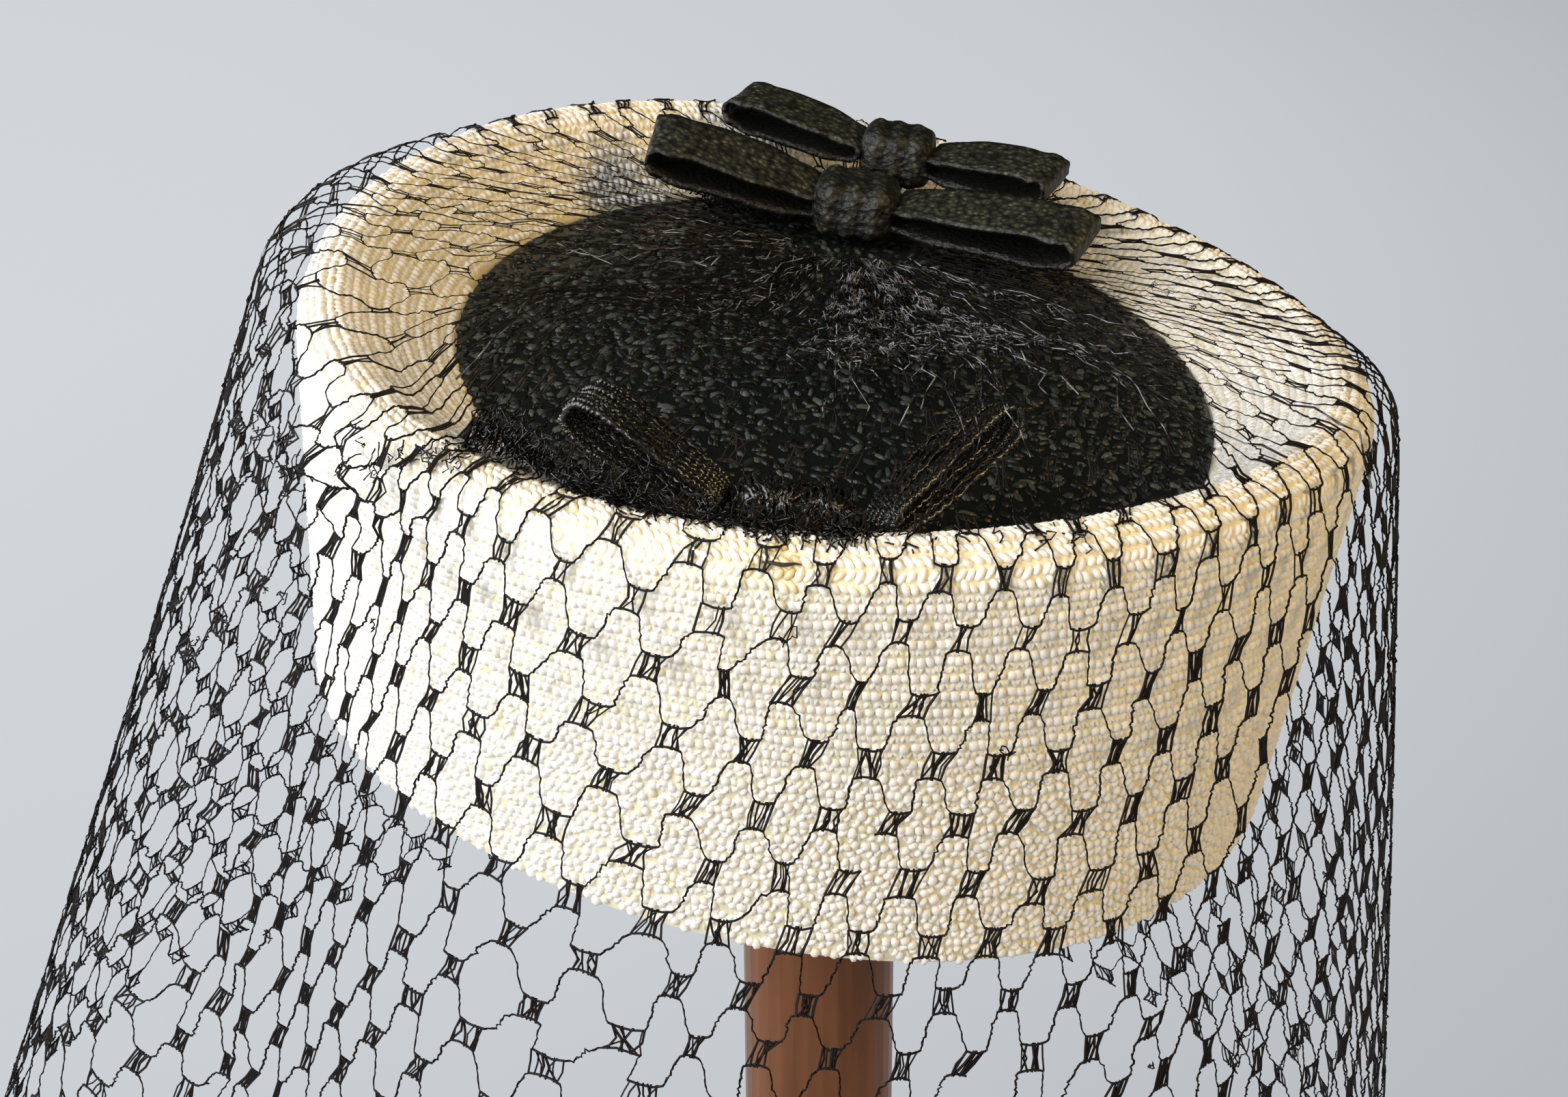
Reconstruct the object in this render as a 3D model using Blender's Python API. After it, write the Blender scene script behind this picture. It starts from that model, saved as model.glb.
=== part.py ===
"""A pillbox hat of sewn cream straw braid, with a black straw crown, three bows and a veil, on a plain stand.

Metres, Z up. The origin is at the middle of the stand's underside and the hat's front is towards -Y.
The hat is worked out upright, its lower edge at height 0 on its own axis, and then leant on the post.
Headings are degrees round the hat's axis: 0 is its left as worn (+X), -90 its front, 90 its back.
"""

import math

import bmesh
import bpy
from mathutils import Matrix, Vector

MM = 0.001
GAP = 0.3 * MM  # between two pieces that touch on the real hat

# Straw cuff
RIM_WIDTH = 192 * MM
RIM_DEPTH = 192 * MM
EDGE_WIDTH = 179 * MM  # across the lower edge
EDGE_DEPTH = 180.5 * MM
HAT_HEIGHT = 77.7 * MM
ROLL_RADIUS = 6 * MM  # of the rolled rim's section
STRAW = 2.4 * MM  # thickness of the sewn braid
RIM_WANDER = 3.3 * MM  # the rim rises and falls this much, twice round
RIM_SADDLE = 2 * MM
EDGE_WANDER = 3.3 * MM

# Crown
CROWN_WIDTH = 137 * MM
CROWN_DEPTH = 159 * MM
CROWN_DROP = 12.5 * MM  # of its edge below the rim
CROWN_DOME = 4.5 * MM
CROWN_THICKNESS = 2 * MM
OVAL_TURN = 16.6  # degrees that the crown's oval is turned from the bows' line

# Veil
VEIL_DROP = 215 * MM  # from the rim's top to the hem
VEIL_THICKNESS = 0.9 * MM
VEIL_CLEARANCE = 0.8 * MM  # from the straw, enough for the flats of the mesh
VEIL_COLUMNS = 25
VEIL_FLARE = 11.5  # degrees
VEIL_ZIGZAG = 9 * MM  # half the height of the honeycomb's zigzag on the fall
GATHER_RADIUS = 14 * MM
GATHER_PLACE = (-0.05, 0.667)  # shares of the crown's half width and half depth
FRONT_RISE = 19.5 * MM  # of the veil over the front bow
RISE_HEADINGS = (38, 66)  # degrees from the front where the rise starts to fade and where it is gone
TURN_IN = 112  # degrees round the rim's section where the veil comes onto it from inside
FOLD_DEPTH = 8 * MM  # of the deepest fold, at the hem
STAND_OFF = 8 * MM  # of the veil from the rim where it stands off most
OVER_RIM_LEVEL = 1.1  # the level where the veil leaves the rim's round and falls straight
VEIL_ROWS = (
    # end: a level, 0 to 1 from gather to rim and 1 to 2 from rim to hem
    # across, along: shares of a cell that are open
    {"end": 0.66, "across": 0.60, "along": 0.88},
    {"end": 1.20, "across": 0.80, "along": 0.88},
    {"end": 1.46, "across": 0.84, "along": 0.91},
    {"end": 1.71, "across": 0.85, "along": 0.91},
    {"end": 1.96, "across": 0.86, "along": 0.91},
)
VEIL_BENDS = (0.5, 0.8, 0.92, 1.0, 1.035, 1.07, OVER_RIM_LEVEL)  # levels where a cell's sides get a point
VEIL_FOLDS = (
    # heading and half_width in degrees, out: a share of the fold depth, against the plain flare
    {"heading": 180, "half_width": 75, "out": 1.0},
    {"heading": 0, "half_width": 75, "out": -0.75},
    {"heading": -148, "half_width": 16, "out": 0.9},
    {"heading": -122, "half_width": 14, "out": -0.5},
    {"heading": -97, "half_width": 16, "out": 0.5},
    {"heading": -58, "half_width": 15, "out": 0.6},
    {"heading": -34, "half_width": 13, "out": -0.6},
    {"heading": 22, "half_width": 16, "out": 0.6},
    {"heading": 62, "half_width": 18, "out": -0.5},
    {"heading": 98, "half_width": 18, "out": 0.6},
    {"heading": 140, "half_width": 18, "out": -0.5},
)
VEIL_STAND_OFFS = (
    # the same columns, out: a share of the greatest stand-off
    {"heading": -170, "half_width": 48, "out": 1.0},
    {"heading": -5, "half_width": 30, "out": 0.2},
)

# Bows
BACK_RIBBON = 14 * MM
BACK_RIBBON_THICKNESS = 1.4 * MM
FRONT_RIBBON = 12 * MM
FRONT_RIBBON_THICKNESS = 2.2 * MM
LOWER_KNOT = (17 * MM, 15.2 * MM, 12 * MM)
UPPER_KNOT = (15 * MM, 13 * MM, 12 * MM)
FRONT_KNOT = (20 * MM, 8.8 * MM, 12 * MM)
LOWER_KNOT_PLACE = (-0.066, 0.689)  # shares of the crown's half width and half depth
FRONT_KNOT_PLACE = (0.029, -0.912)
UPPER_KNOT_SIDE = 5.8 * MM  # of its middle from the lower knot's
KNOT_NEST = 0.4 * MM  # how far one rounded knot tucks into the other's corner
LOOP_TUCK = 0.25 * MM  # how far a loop tucks in against its knot's rounded side
PINCH_SHARE = 0.72  # a ribbon's width at the knot against its width at the loop's end
LOOP_LENGTH = 38 * MM  # of the longest loop, from its knot
LOOP_HEIGHT = 9 * MM  # of the tallest, at its end
LOOPS = (
    # left and right as seen from the front; heading and pitch in degrees
    # length, height: shares of LOOP_LENGTH and LOOP_HEIGHT
    {"bow": "back_bow_lower", "side": "left", "heading": 186, "pitch": 12, "length": 0.87, "height": 0.89},
    {"bow": "back_bow_lower", "side": "right", "heading": -18, "pitch": 6.4, "length": 1, "height": 0.89},
    {"bow": "back_bow_upper", "side": "left", "heading": 166, "pitch": 6.5, "length": 0.7, "height": 0.78},
    {"bow": "back_bow_upper", "side": "right", "heading": -16.5, "pitch": 5, "length": 0.645, "height": 0.78},
    {"bow": "front_bow", "side": "left", "heading": 169, "pitch": 17, "length": 0.72, "height": 1},
    {"bow": "front_bow", "side": "right", "heading": 55.9, "pitch": 14.8, "length": 0.985, "height": 1},
)

# Stand
POST_RADIUS = 15 * MM
FOOT_RADIUS = 76 * MM
FOOT_THICKNESS = 16 * MM
FOOT_ROUND = 4 * MM
CAP_RADIUS = 44 * MM
CAP_THICKNESS = 22 * MM
HAT_LIFT = 225 * MM  # of the lower edge's middle above the floor
HAT_LEAN = 6.5  # degrees, its left side down
LEAN_HEADING = 8  # the lean is about a level line at this many degrees from the bows' line

ROUND = 48  # sections round the hat
ROLL_STEPS = 6
RIBBON_STEPS = 18


def smooth(value, low, high):
    """0 below low, 1 above high, eased between."""
    share = min(1, max(0, (value - low) / (high - low)))
    return share * share * (3 - 2 * share)


def apart(heading, other):
    """Degrees between two headings, 0 to 180."""
    return abs((heading - other + 180) % 360 - 180)


def oval_radius(width, depth, heading, turn=0):
    """Distance from the axis to an oval's edge."""
    angle = math.radians(heading - turn)
    across = 2 * math.cos(angle) / width
    along = 2 * math.sin(angle) / depth
    return 1 / math.hypot(across, along)


def on_axis(radius, heading, height):
    angle = math.radians(heading)
    return Vector((radius * math.cos(angle), radius * math.sin(angle), height))


def rim_top(heading):
    turned = math.radians(2 * (heading - OVAL_TURN))
    return HAT_HEIGHT - RIM_WANDER * math.sin(turned) - RIM_SADDLE * math.cos(turned)


def lower_edge(heading):
    return EDGE_WANDER * math.sin(math.radians(2 * (heading - OVAL_TURN)))


def roll_centre(heading):
    """(distance from the axis, height) of the middle of the rolled rim's section."""
    radius = oval_radius(RIM_WIDTH, RIM_DEPTH, heading) - ROLL_RADIUS
    return radius, rim_top(heading) - ROLL_RADIUS


def crown_edge(heading):
    """(distance from the axis, height) of the line where cuff and crown meet."""
    return oval_radius(CROWN_WIDTH, CROWN_DEPTH, heading, OVAL_TURN), HAT_HEIGHT - CROWN_DROP


def tangent_angles(heading):
    """Angles on the roll where the outer wall ends and where the inner slope starts."""
    radius, height = roll_centre(heading)
    edge = oval_radius(EDGE_WIDTH, EDGE_DEPTH, heading) - radius, lower_edge(heading) - height
    crown = crown_edge(heading)
    inner = crown[0] - radius, crown[1] - height
    wall = math.atan2(edge[1], edge[0]) + math.acos(ROLL_RADIUS / math.hypot(*edge))
    slope = math.atan2(inner[1], inner[0]) % math.tau - math.acos(ROLL_RADIUS / math.hypot(*inner))
    return wall, slope


def cuff_face(heading):
    """The cuff's visible face at a heading, from the lower edge over the rim to the crown: (point, normal)
    pairs, each a (distance from the axis, height)."""
    radius, height = roll_centre(heading)
    wall, slope = tangent_angles(heading)
    edge = oval_radius(EDGE_WIDTH, EDGE_DEPTH, heading), lower_edge(heading)
    wall_normal = math.cos(wall), math.sin(wall)
    slope_normal = math.cos(slope), math.sin(slope)
    face = []
    for share in (0, 0.5):
        top = radius + ROLL_RADIUS * wall_normal[0], height + ROLL_RADIUS * wall_normal[1]
        point = tuple(a + (b - a) * share for a, b in zip(edge, top))
        face.append((point, wall_normal))
    for step in range(ROLL_STEPS + 1):
        angle = wall + (slope - wall) * step / ROLL_STEPS
        normal = math.cos(angle), math.sin(angle)
        face.append(((radius + ROLL_RADIUS * normal[0], height + ROLL_RADIUS * normal[1]), normal))
    face.append((crown_edge(heading), slope_normal))
    return face


def crown_height(x, y):
    """Height of the crown's top face, and past its edge that of the straight slope or of the roll."""
    heading = math.degrees(math.atan2(y, x))
    distance = math.hypot(x, y)
    edge, height = crown_edge(heading)
    if distance <= edge:
        return height + CROWN_DOME * (1 - (distance / edge) ** 2)
    radius, roll_height = roll_centre(heading)
    slope = tangent_angles(heading)[1]
    start = radius + ROLL_RADIUS * math.cos(slope)
    if distance < start:
        top = roll_height + ROLL_RADIUS * math.sin(slope)
        return height + (top - height) * (distance - edge) / (start - edge)
    return roll_height + math.sqrt(max(0, ROLL_RADIUS**2 - (distance - radius) ** 2))


def material(name, colour, roughness, metallic=0):
    made = bpy.data.materials.new(name)
    made.use_nodes = True
    shader = made.node_tree.nodes["Principled BSDF"]
    shader.inputs["Base Color"].default_value = (*colour, 1)
    shader.inputs["Roughness"].default_value = roughness
    shader.inputs["Metallic"].default_value = metallic
    made.diffuse_color = (*colour, 1)
    return made


def add_object(name, shape, parent, finish):
    """Makes an object of a bmesh, with its faces turned outwards."""
    bmesh.ops.recalc_face_normals(shape, faces=shape.faces)
    mesh = bpy.data.meshes.new(name)
    shape.to_mesh(mesh)
    shape.free()
    mesh.materials.append(finish)
    mesh.shade_smooth()
    mesh.set_sharp_from_angle(angle=math.radians(40))
    made = bpy.data.objects.new(name, mesh)
    bpy.context.scene.collection.objects.link(made)
    made.parent = parent
    return made


def skin(rings, closed=False):
    """A bmesh through rings of points. A ring of one point ends the shape; closed joins last to first."""
    shape = bmesh.new()
    rows = [[shape.verts.new(point) for point in ring] for ring in rings]
    pairs = list(zip(rows, rows[1:]))
    if closed:
        pairs.append((rows[-1], rows[0]))
    for first, second in pairs:
        count = max(len(first), len(second))
        for index in range(count):
            after = (index + 1) % count
            corners = [first[index % len(first)], first[after % len(first)]]
            corners += [second[after % len(second)], second[index % len(second)]]
            shape.faces.new(list(dict.fromkeys(corners)))
    return shape


def make_cuff(parent, finish):
    """Outer wall, rolled rim and inner slope: one shell of even thickness, open below."""
    sections = []
    for index in range(ROUND):
        heading = 360 * index / ROUND
        face = cuff_face(heading)
        outside = [on_axis(point[0], heading, point[1]) for point, _ in face]
        inside = [
            on_axis(point[0] - STRAW * normal[0], heading, point[1] - STRAW * normal[1])
            for point, normal in reversed(face)
        ]
        sections.append(outside + inside)
    add_object("straw_cuff", skin(sections, closed=True), parent, finish)


def make_crown(parent, finish):
    """The oval straw tip, gently domed, its edge against the foot of the slope."""
    shares = (0, 0.3, 0.6, 0.85, 1)
    rings = []
    for sinks, order in ((0, shares), (CROWN_THICKNESS, reversed(shares))):
        for share in order:
            ring = []
            for index in range(ROUND if share else 1):
                heading = 360 * index / ROUND
                edge, height = crown_edge(heading)
                rise = CROWN_DOME * (1 - share * share) - sinks
                ring.append(on_axis((edge - GAP) * share, heading, height + rise))
            rings.append(ring)
    add_object("straw_crown", skin(rings), parent, finish)


def crown_place(shares):
    """A point on the crown's top face, given as shares of the crown's half width and half depth."""
    x, y = shares[0] * CROWN_WIDTH / 2, shares[1] * CROWN_DEPTH / 2
    return Vector((x, y, crown_height(x, y)))


def table_sum(table, heading):
    """What the rows of a table of folds push out at a heading, as a share of the deepest."""
    return sum(
        row["out"] * (1 - smooth(apart(heading, row["heading"]), 0, row["half_width"])) for row in table
    )


def veil_point(column, level):
    """A point of the veil's inner face. Level 0 is the gather, 1 the rim's inner side, 2 the hem."""
    heading = 360 * column / VEIL_COLUMNS - 90
    radius, height = roll_centre(heading)
    reach = ROLL_RADIUS + VEIL_CLEARANCE + STAND_OFF * table_sum(VEIL_STAND_OFFS, heading)
    flare = math.radians(VEIL_FLARE)
    turn_in = math.radians(TURN_IN)
    if level <= 1:
        end = on_axis(radius + reach * math.cos(turn_in), heading, height + reach * math.sin(turn_in))
        centre = crown_place(GATHER_PLACE)
        outward = (end - centre).to_2d().normalized()
        start = centre + Vector((*(outward * GATHER_RADIUS), 0))
        start.z = crown_height(start.x, start.y) + VEIL_CLEARANCE
        place = start.lerp(end, level)
        front = 1 - smooth(apart(heading, -90), *RISE_HEADINGS)
        place.z += FRONT_RISE * front * math.sin(math.pi * level**2.5)
        return place
    if level < OVER_RIM_LEVEL:
        angle = turn_in + (flare - turn_in) * (level - 1) / (OVER_RIM_LEVEL - 1)
        return on_axis(radius + reach * math.cos(angle), heading, height + reach * math.sin(angle))
    top = height + reach * math.sin(flare)
    share = (level - OVER_RIM_LEVEL) / (2 - OVER_RIM_LEVEL)
    down = share * (top - HAT_HEIGHT + VEIL_DROP)
    out = radius + reach * math.cos(flare) + down * math.tan(flare)
    out += FOLD_DEPTH * table_sum(VEIL_FOLDS, heading) * share**1.3
    return on_axis(out, heading, top - down)


def cell_outline(column, top, bottom):
    """(column, level) points round one cell of the honeycomb, taller than wide, clockwise from its top."""
    zigzag = VEIL_ZIGZAG * (2 - OVER_RIM_LEVEL) / VEIL_DROP
    side_top, side_bottom = top + zigzag, bottom - zigzag
    down = [level for level in VEIL_BENDS if side_top < level < side_bottom]
    right = [(column + 0.5, level) for level in [side_top, *down, side_bottom]]
    left = [(column - 0.5, level) for level in [side_bottom, *reversed(down), side_top]]
    return [(column, top - zigzag), *right, (column, bottom + zigzag), *left]


def make_veil(parent, finish):
    """The net, cut through in a honeycomb, gathered flat on the crown and falling outside the rim."""
    shape = bmesh.new()
    shared = {}

    def corner(column, level):
        key = round(column % VEIL_COLUMNS, 3), round(level, 4)
        if key not in shared:
            shared[key] = shape.verts.new(veil_point(column, level))
        return shared[key]

    top = VEIL_ZIGZAG * (2 - OVER_RIM_LEVEL) / VEIL_DROP
    first_row = []
    for number, row in enumerate(VEIL_ROWS):
        for index in range(VEIL_COLUMNS):
            column = index + 0.5 * (number % 2)
            middle = (top + row["end"]) / 2
            outline = cell_outline(column, top, row["end"])
            outer = [corner(*point) for point in outline]
            inner = [
                shape.verts.new(
                    veil_point(
                        column + (across - column) * row["across"],
                        middle + (level - middle) * row["along"],
                    )
                )
                for across, level in outline
            ]
            for place in range(len(outline)):
                after = (place + 1) % len(outline)
                shape.faces.new((outer[place], outer[after], inner[after], inner[place]))
            if number == 0:
                first_row += [outer[0], outer[1]]
        top = row["end"]
    middle = shape.verts.new(crown_place(GATHER_PLACE) + Vector((0, 0, VEIL_CLEARANCE)))
    for place, vert in enumerate(first_row):
        shape.faces.new((middle, vert, first_row[(place + 1) % len(first_row)]))
    made = add_object("net_veil", shape, parent, finish)
    if made.data.polygons[-1].normal.z < 0:
        made.data.flip_normals()
    cloth = made.modifiers.new("cloth", "SOLIDIFY")
    cloth.thickness = VEIL_THICKNESS
    cloth.offset = 1
    return made


def make_loop(loop, knot, size, ribbon, thickness, parent, finish):
    """One loop of a bow: a ribbon bent back on itself, open from front to back and pinched at the knot."""
    heading = math.radians(loop["heading"])
    pitch = math.radians(loop["pitch"])
    level = Vector((math.cos(heading), math.sin(heading), 0))
    onward = level * math.cos(pitch) + Vector((0, 0, math.sin(pitch)))
    across = onward.cross(Vector((0, 0, 1))).normalized()
    up = across.cross(onward).normalized()
    clear = size[0] / 2 + GAP - LOOP_TUCK + ribbon / 2 * PINCH_SHARE * abs(level.y)
    root = knot + Vector((math.copysign(clear, level.x), 0, 0))
    length, height = loop["length"] * LOOP_LENGTH, loop["height"] * LOOP_HEIGHT
    front, back = [], []
    for inset in (0, thickness):
        for step in range(RIBBON_STEPS):
            angle = math.tau * step / RIBBON_STEPS
            share = (1 - math.cos(angle)) / 2
            along = inset + (length - 2 * inset) * share
            rise = height / 2 * (0.5 + 0.5 * share) - inset
            half = ribbon / 2 * (PINCH_SHARE + (1 - PINCH_SHARE) * smooth(share, 0, 0.6))
            point = root + onward * along + up * (rise * math.sin(angle))
            front.append(point - across * half)
            back.append(point + across * half)
    count = RIBBON_STEPS
    rings = [front[:count], back[:count], back[count:], front[count:]]
    name = loop["bow"] + "_" + loop["side"] + "_loop"
    add_object(name, skin(rings, closed=True), parent, finish)


def squarish(turn, power):
    """(cosine, sine) of an angle pushed towards the corners of a square."""
    pair = math.cos(turn), math.sin(turn)
    return tuple(math.copysign(abs(value) ** power, value) for value in pair)


def make_knot(name, middle, size, parent, finish):
    """The wrap over a bow's middle: a block with well-rounded corners."""
    half = [length / 2 for length in size]
    rings = [[middle + Vector((half[0], 0, 0))]]
    for turn in (30, 60, 90, 120, 150):
        along, reach = squarish(math.radians(turn), 0.45)
        ring = []
        for step in range(12):
            y, z = squarish(math.tau * (step + 0.5) / 12, 0.6)
            ring.append(middle + Vector((half[0] * along, half[1] * reach * y, half[2] * reach * z)))
        rings.append(ring)
    rings.append([middle - Vector((half[0], 0, 0))])
    add_object(name + "_knot", skin(rings), parent, finish)


def make_bows(parent, ribbon, cord):
    """The lower back bow sits on the gathered veil, the upper one against it, the front one on the crown."""
    over_veil = VEIL_CLEARANCE + VEIL_THICKNESS + GAP
    lower = crown_place(LOWER_KNOT_PLACE) + Vector((0, 0, over_veil + LOWER_KNOT[2] / 2))
    behind = (LOWER_KNOT[1] + UPPER_KNOT[1]) / 2 + GAP - KNOT_NEST
    upper = lower + Vector((UPPER_KNOT_SIDE, behind, LOWER_KNOT[2] / 2))
    front = crown_place(FRONT_KNOT_PLACE) + Vector((0, 0, GAP + FRONT_KNOT[2] / 2))
    bows = {
        "back_bow_lower": (lower, LOWER_KNOT, BACK_RIBBON, BACK_RIBBON_THICKNESS, ribbon),
        "back_bow_upper": (upper, UPPER_KNOT, BACK_RIBBON, BACK_RIBBON_THICKNESS, ribbon),
        "front_bow": (front, FRONT_KNOT, FRONT_RIBBON, FRONT_RIBBON_THICKNESS, cord),
    }
    for name, (middle, size, _, _, finish) in bows.items():
        make_knot(name, middle, size, parent, finish)
    for loop in LOOPS:
        middle, size, width, thickness, finish = bows[loop["bow"]]
        make_loop(loop, middle, size, width, thickness, parent, finish)


def turned(profile, sides=ROUND):
    """A solid turned about Z from (radius, height) points that start and end on the axis."""
    rings = []
    for radius, height in profile:
        count = sides if radius else 1
        rings.append([on_axis(radius, 360 * index / sides, height) for index in range(count)])
    return skin(rings)


def make_cap(parent, finish):
    """The stand's top, hidden in the hat: it bears on the crown's underside and leans with it."""
    underside = HAT_HEIGHT - CROWN_DROP - CROWN_THICKNESS - GAP
    bottom = underside + CROWN_DOME - CAP_THICKNESS
    rings = [[Vector((0, 0, underside + CROWN_DOME))]]
    for share, sinks in ((0.45, 0), (0.85, 0), (1, 4 * MM)):
        ring = []
        for index in range(32):
            point = on_axis(CAP_RADIUS * share, 360 * index / 32, 0)
            point.z = crown_height(point.x, point.y) - CROWN_THICKNESS - 2 * GAP - sinks
            ring.append(point)
        rings.append(ring)
    rings.append([on_axis(CAP_RADIUS, 360 * index / 32, bottom + 3 * MM) for index in range(32)])
    rings.append([on_axis(CAP_RADIUS - 3 * MM, 360 * index / 32, bottom) for index in range(32)])
    rings.append([Vector((0, 0, bottom))])
    add_object("stand_cap", skin(rings), parent, finish)
    return bottom


def make_post(lean, cap_bottom, finish):
    """The round post from the foot up to the cap, its top cut to the cap's slope."""
    normal = (lean.to_3x3() @ Vector((0, 0, 1))).normalized()
    on_plane = lean @ Vector((0, 0, cap_bottom - GAP))

    def top(point):
        reach = (on_plane - point).dot(normal) / normal.z
        return point + Vector((0, 0, reach))

    low = [on_axis(POST_RADIUS, 360 * index / 32, FOOT_THICKNESS + GAP) for index in range(32)]
    high = [top(point) for point in low]
    centre_low = Vector((0, 0, FOOT_THICKNESS + GAP))
    rings = [[centre_low], low, high, [top(centre_low)]]
    add_object("stand_post", skin(rings), None, finish)


def make_foot(finish):
    """The stand's round foot, flat below, with a rounded upper edge."""
    profile = [(0, 0), (FOOT_RADIUS - 1 * MM, 0), (FOOT_RADIUS, 1 * MM)]
    for step in range(4):
        angle = math.radians(30 * step)
        profile.append(
            (
                FOOT_RADIUS - FOOT_ROUND * (1 - math.cos(angle)),
                FOOT_THICKNESS - FOOT_ROUND * (1 - math.sin(angle)),
            )
        )
    profile.append((0, FOOT_THICKNESS))
    add_object("stand_foot", turned(profile), None, finish)


def leant():
    """Where the upright hat goes: leant about the middle of its height, above the post."""
    middle = Vector((0, 0, HAT_HEIGHT / 2))
    line = Vector((math.sin(math.radians(-LEAN_HEADING)), math.cos(math.radians(-LEAN_HEADING)), 0))
    lean = Matrix.Rotation(math.radians(HAT_LEAN), 4, line)
    lift = Matrix.Translation(middle + Vector((0, 0, HAT_LIFT)))
    return lift @ lean @ Matrix.Translation(-middle)


def main():
    for old in list(bpy.data.objects):
        bpy.data.objects.remove(old)
    hat = bpy.data.objects.new("hat", None)
    bpy.context.scene.collection.objects.link(hat)
    lean = leant()
    hat.matrix_world = lean
    cream = material("cream straw", (0.86, 0.78, 0.62), 0.6)
    black = material("black straw", (0.012, 0.012, 0.011), 0.35)
    ribbon = material("black straw ribbon", (0.02, 0.02, 0.014), 0.4)
    cord = material("black cord", (0.01, 0.009, 0.009), 0.45)
    net = material("black net", (0.012, 0.01, 0.01), 0.6)
    post = material("brown post", (0.30, 0.12, 0.05), 0.35)
    foot = material("brown foot", (0.22, 0.09, 0.04), 0.4)
    make_cuff(hat, cream)
    make_crown(hat, black)
    make_bows(hat, ribbon, cord)
    make_veil(hat, net)
    cap_bottom = make_cap(hat, foot)
    make_post(lean, cap_bottom, post)
    make_foot(foot)


main()
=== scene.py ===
"""Dresses a pillbox hat of sewn straw braid: braid, bows, net veil, the stand's finish, light and camera.

Metres, Z up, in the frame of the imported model. The hat is worked out upright, its lower edge at height 0 on
its own axis, and then leant on the post. Headings are degrees round that axis: -90 is the hat's front.
"""

import bpy
import numpy as np
from mathutils import Matrix, Vector


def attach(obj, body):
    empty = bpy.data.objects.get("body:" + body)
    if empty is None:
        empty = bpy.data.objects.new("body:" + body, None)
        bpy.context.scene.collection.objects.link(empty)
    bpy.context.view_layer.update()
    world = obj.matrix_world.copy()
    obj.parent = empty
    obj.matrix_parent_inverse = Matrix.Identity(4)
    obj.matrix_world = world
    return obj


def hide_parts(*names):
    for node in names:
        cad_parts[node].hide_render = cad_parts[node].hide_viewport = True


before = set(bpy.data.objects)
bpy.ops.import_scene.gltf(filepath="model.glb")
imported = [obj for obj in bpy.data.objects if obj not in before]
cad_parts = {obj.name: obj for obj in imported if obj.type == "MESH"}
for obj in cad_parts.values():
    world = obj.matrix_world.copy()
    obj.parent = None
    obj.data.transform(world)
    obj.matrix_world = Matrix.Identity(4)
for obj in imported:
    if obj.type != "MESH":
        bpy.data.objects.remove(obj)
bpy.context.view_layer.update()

bl_info = {
    "name": "Pillbox hat with a veil",
    "version": (1, 0, 0),
    "blender": (4, 5, 0),
    "location": "3D View > Sidebar > Hat",
    "description": "Sewn straw braid, cord and ribbon bows and a net veil for a pillbox hat on its stand",
    "category": "Object",
}

MM = 0.001
GAP = 0.3 * MM
RIM_WIDTH = 192 * MM
RIM_DEPTH = 192 * MM
EDGE_WIDTH = 179 * MM
EDGE_DEPTH = 180.5 * MM
HAT_HEIGHT = 77.7 * MM
ROLL_RADIUS = 6 * MM
STRAW = 2.4 * MM
RIM_WANDER = 3.3 * MM
RIM_SADDLE = 2 * MM
EDGE_WANDER = 3.3 * MM
CROWN_WIDTH = 137 * MM
CROWN_DEPTH = 159 * MM
CROWN_DROP = 12.5 * MM
CROWN_DOME = 4.5 * MM
OVAL_TURN = 16.6
VEIL_DROP = 215 * MM
VEIL_CLEARANCE = 0.8 * MM
VEIL_FLARE = 11.5
GATHER_RADIUS = 14 * MM
GATHER_PLACE = (-0.05, 0.667)
FRONT_RISE = 15 * MM
RISE_HEADINGS = (38, 66)
TURN_IN = 112
FOLD_DEPTH = 8 * MM
STAND_OFF = 8 * MM
OVER_RIM_LEVEL = 1.1
VEIL_FOLDS = (
    # heading, half width in degrees, how far out as a share of the fold depth
    (180, 75, 1.0),
    (0, 75, -0.75),
    (-148, 16, 0.9),
    (-122, 14, -0.5),
    (-97, 16, 0.5),
    (-58, 15, 0.6),
    (-34, 13, -0.6),
    (22, 16, 0.6),
    (62, 18, -0.5),
    (98, 18, 0.6),
    (140, 18, -0.5),
)
VEIL_STAND_OFFS = ((-170, 48, 1.0), (-5, 30, 0.5))
BACK_RIBBON = 14 * MM
BACK_RIBBON_THICKNESS = 1.4 * MM
FRONT_RIBBON = 12 * MM
FRONT_RIBBON_THICKNESS = 2.2 * MM
LOWER_KNOT = (17 * MM, 15.2 * MM, 12 * MM)
UPPER_KNOT = (15 * MM, 13 * MM, 12 * MM)
FRONT_KNOT = (20 * MM, 8.8 * MM, 12 * MM)
LOWER_KNOT_PLACE = (-0.066, 0.689)
FRONT_KNOT_PLACE = (0.029, -0.912)
UPPER_KNOT_SIDE = 5.8 * MM
KNOT_NEST = 0.4 * MM
LOOP_TUCK = 0.25 * MM
PINCH_SHARE = 0.72
LOOP_LENGTH = 38 * MM
LOOP_HEIGHT = 9 * MM
LOOPS = (
    # bow, side, heading, pitch, length and height as shares of the longest and tallest, roll forwards
    ("back_bow_lower", "left", 186, 12, 0.87, 0.89, 12),
    ("back_bow_lower", "right", -18, 6.4, 1, 0.89, 10),
    ("back_bow_upper", "left", 166, 6.5, 0.7, 0.78, 0),
    ("back_bow_upper", "right", -16.5, 5, 0.645, 0.78, 4),
    ("front_bow", "left", 169, 24, 0.78, 1, 0),
    ("front_bow", "right", 59, 21, 0.88, 0.9, -24),
)
HAT_LIFT = 225 * MM
HAT_LEAN = 6.5
LEAN_HEADING = 8

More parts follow.
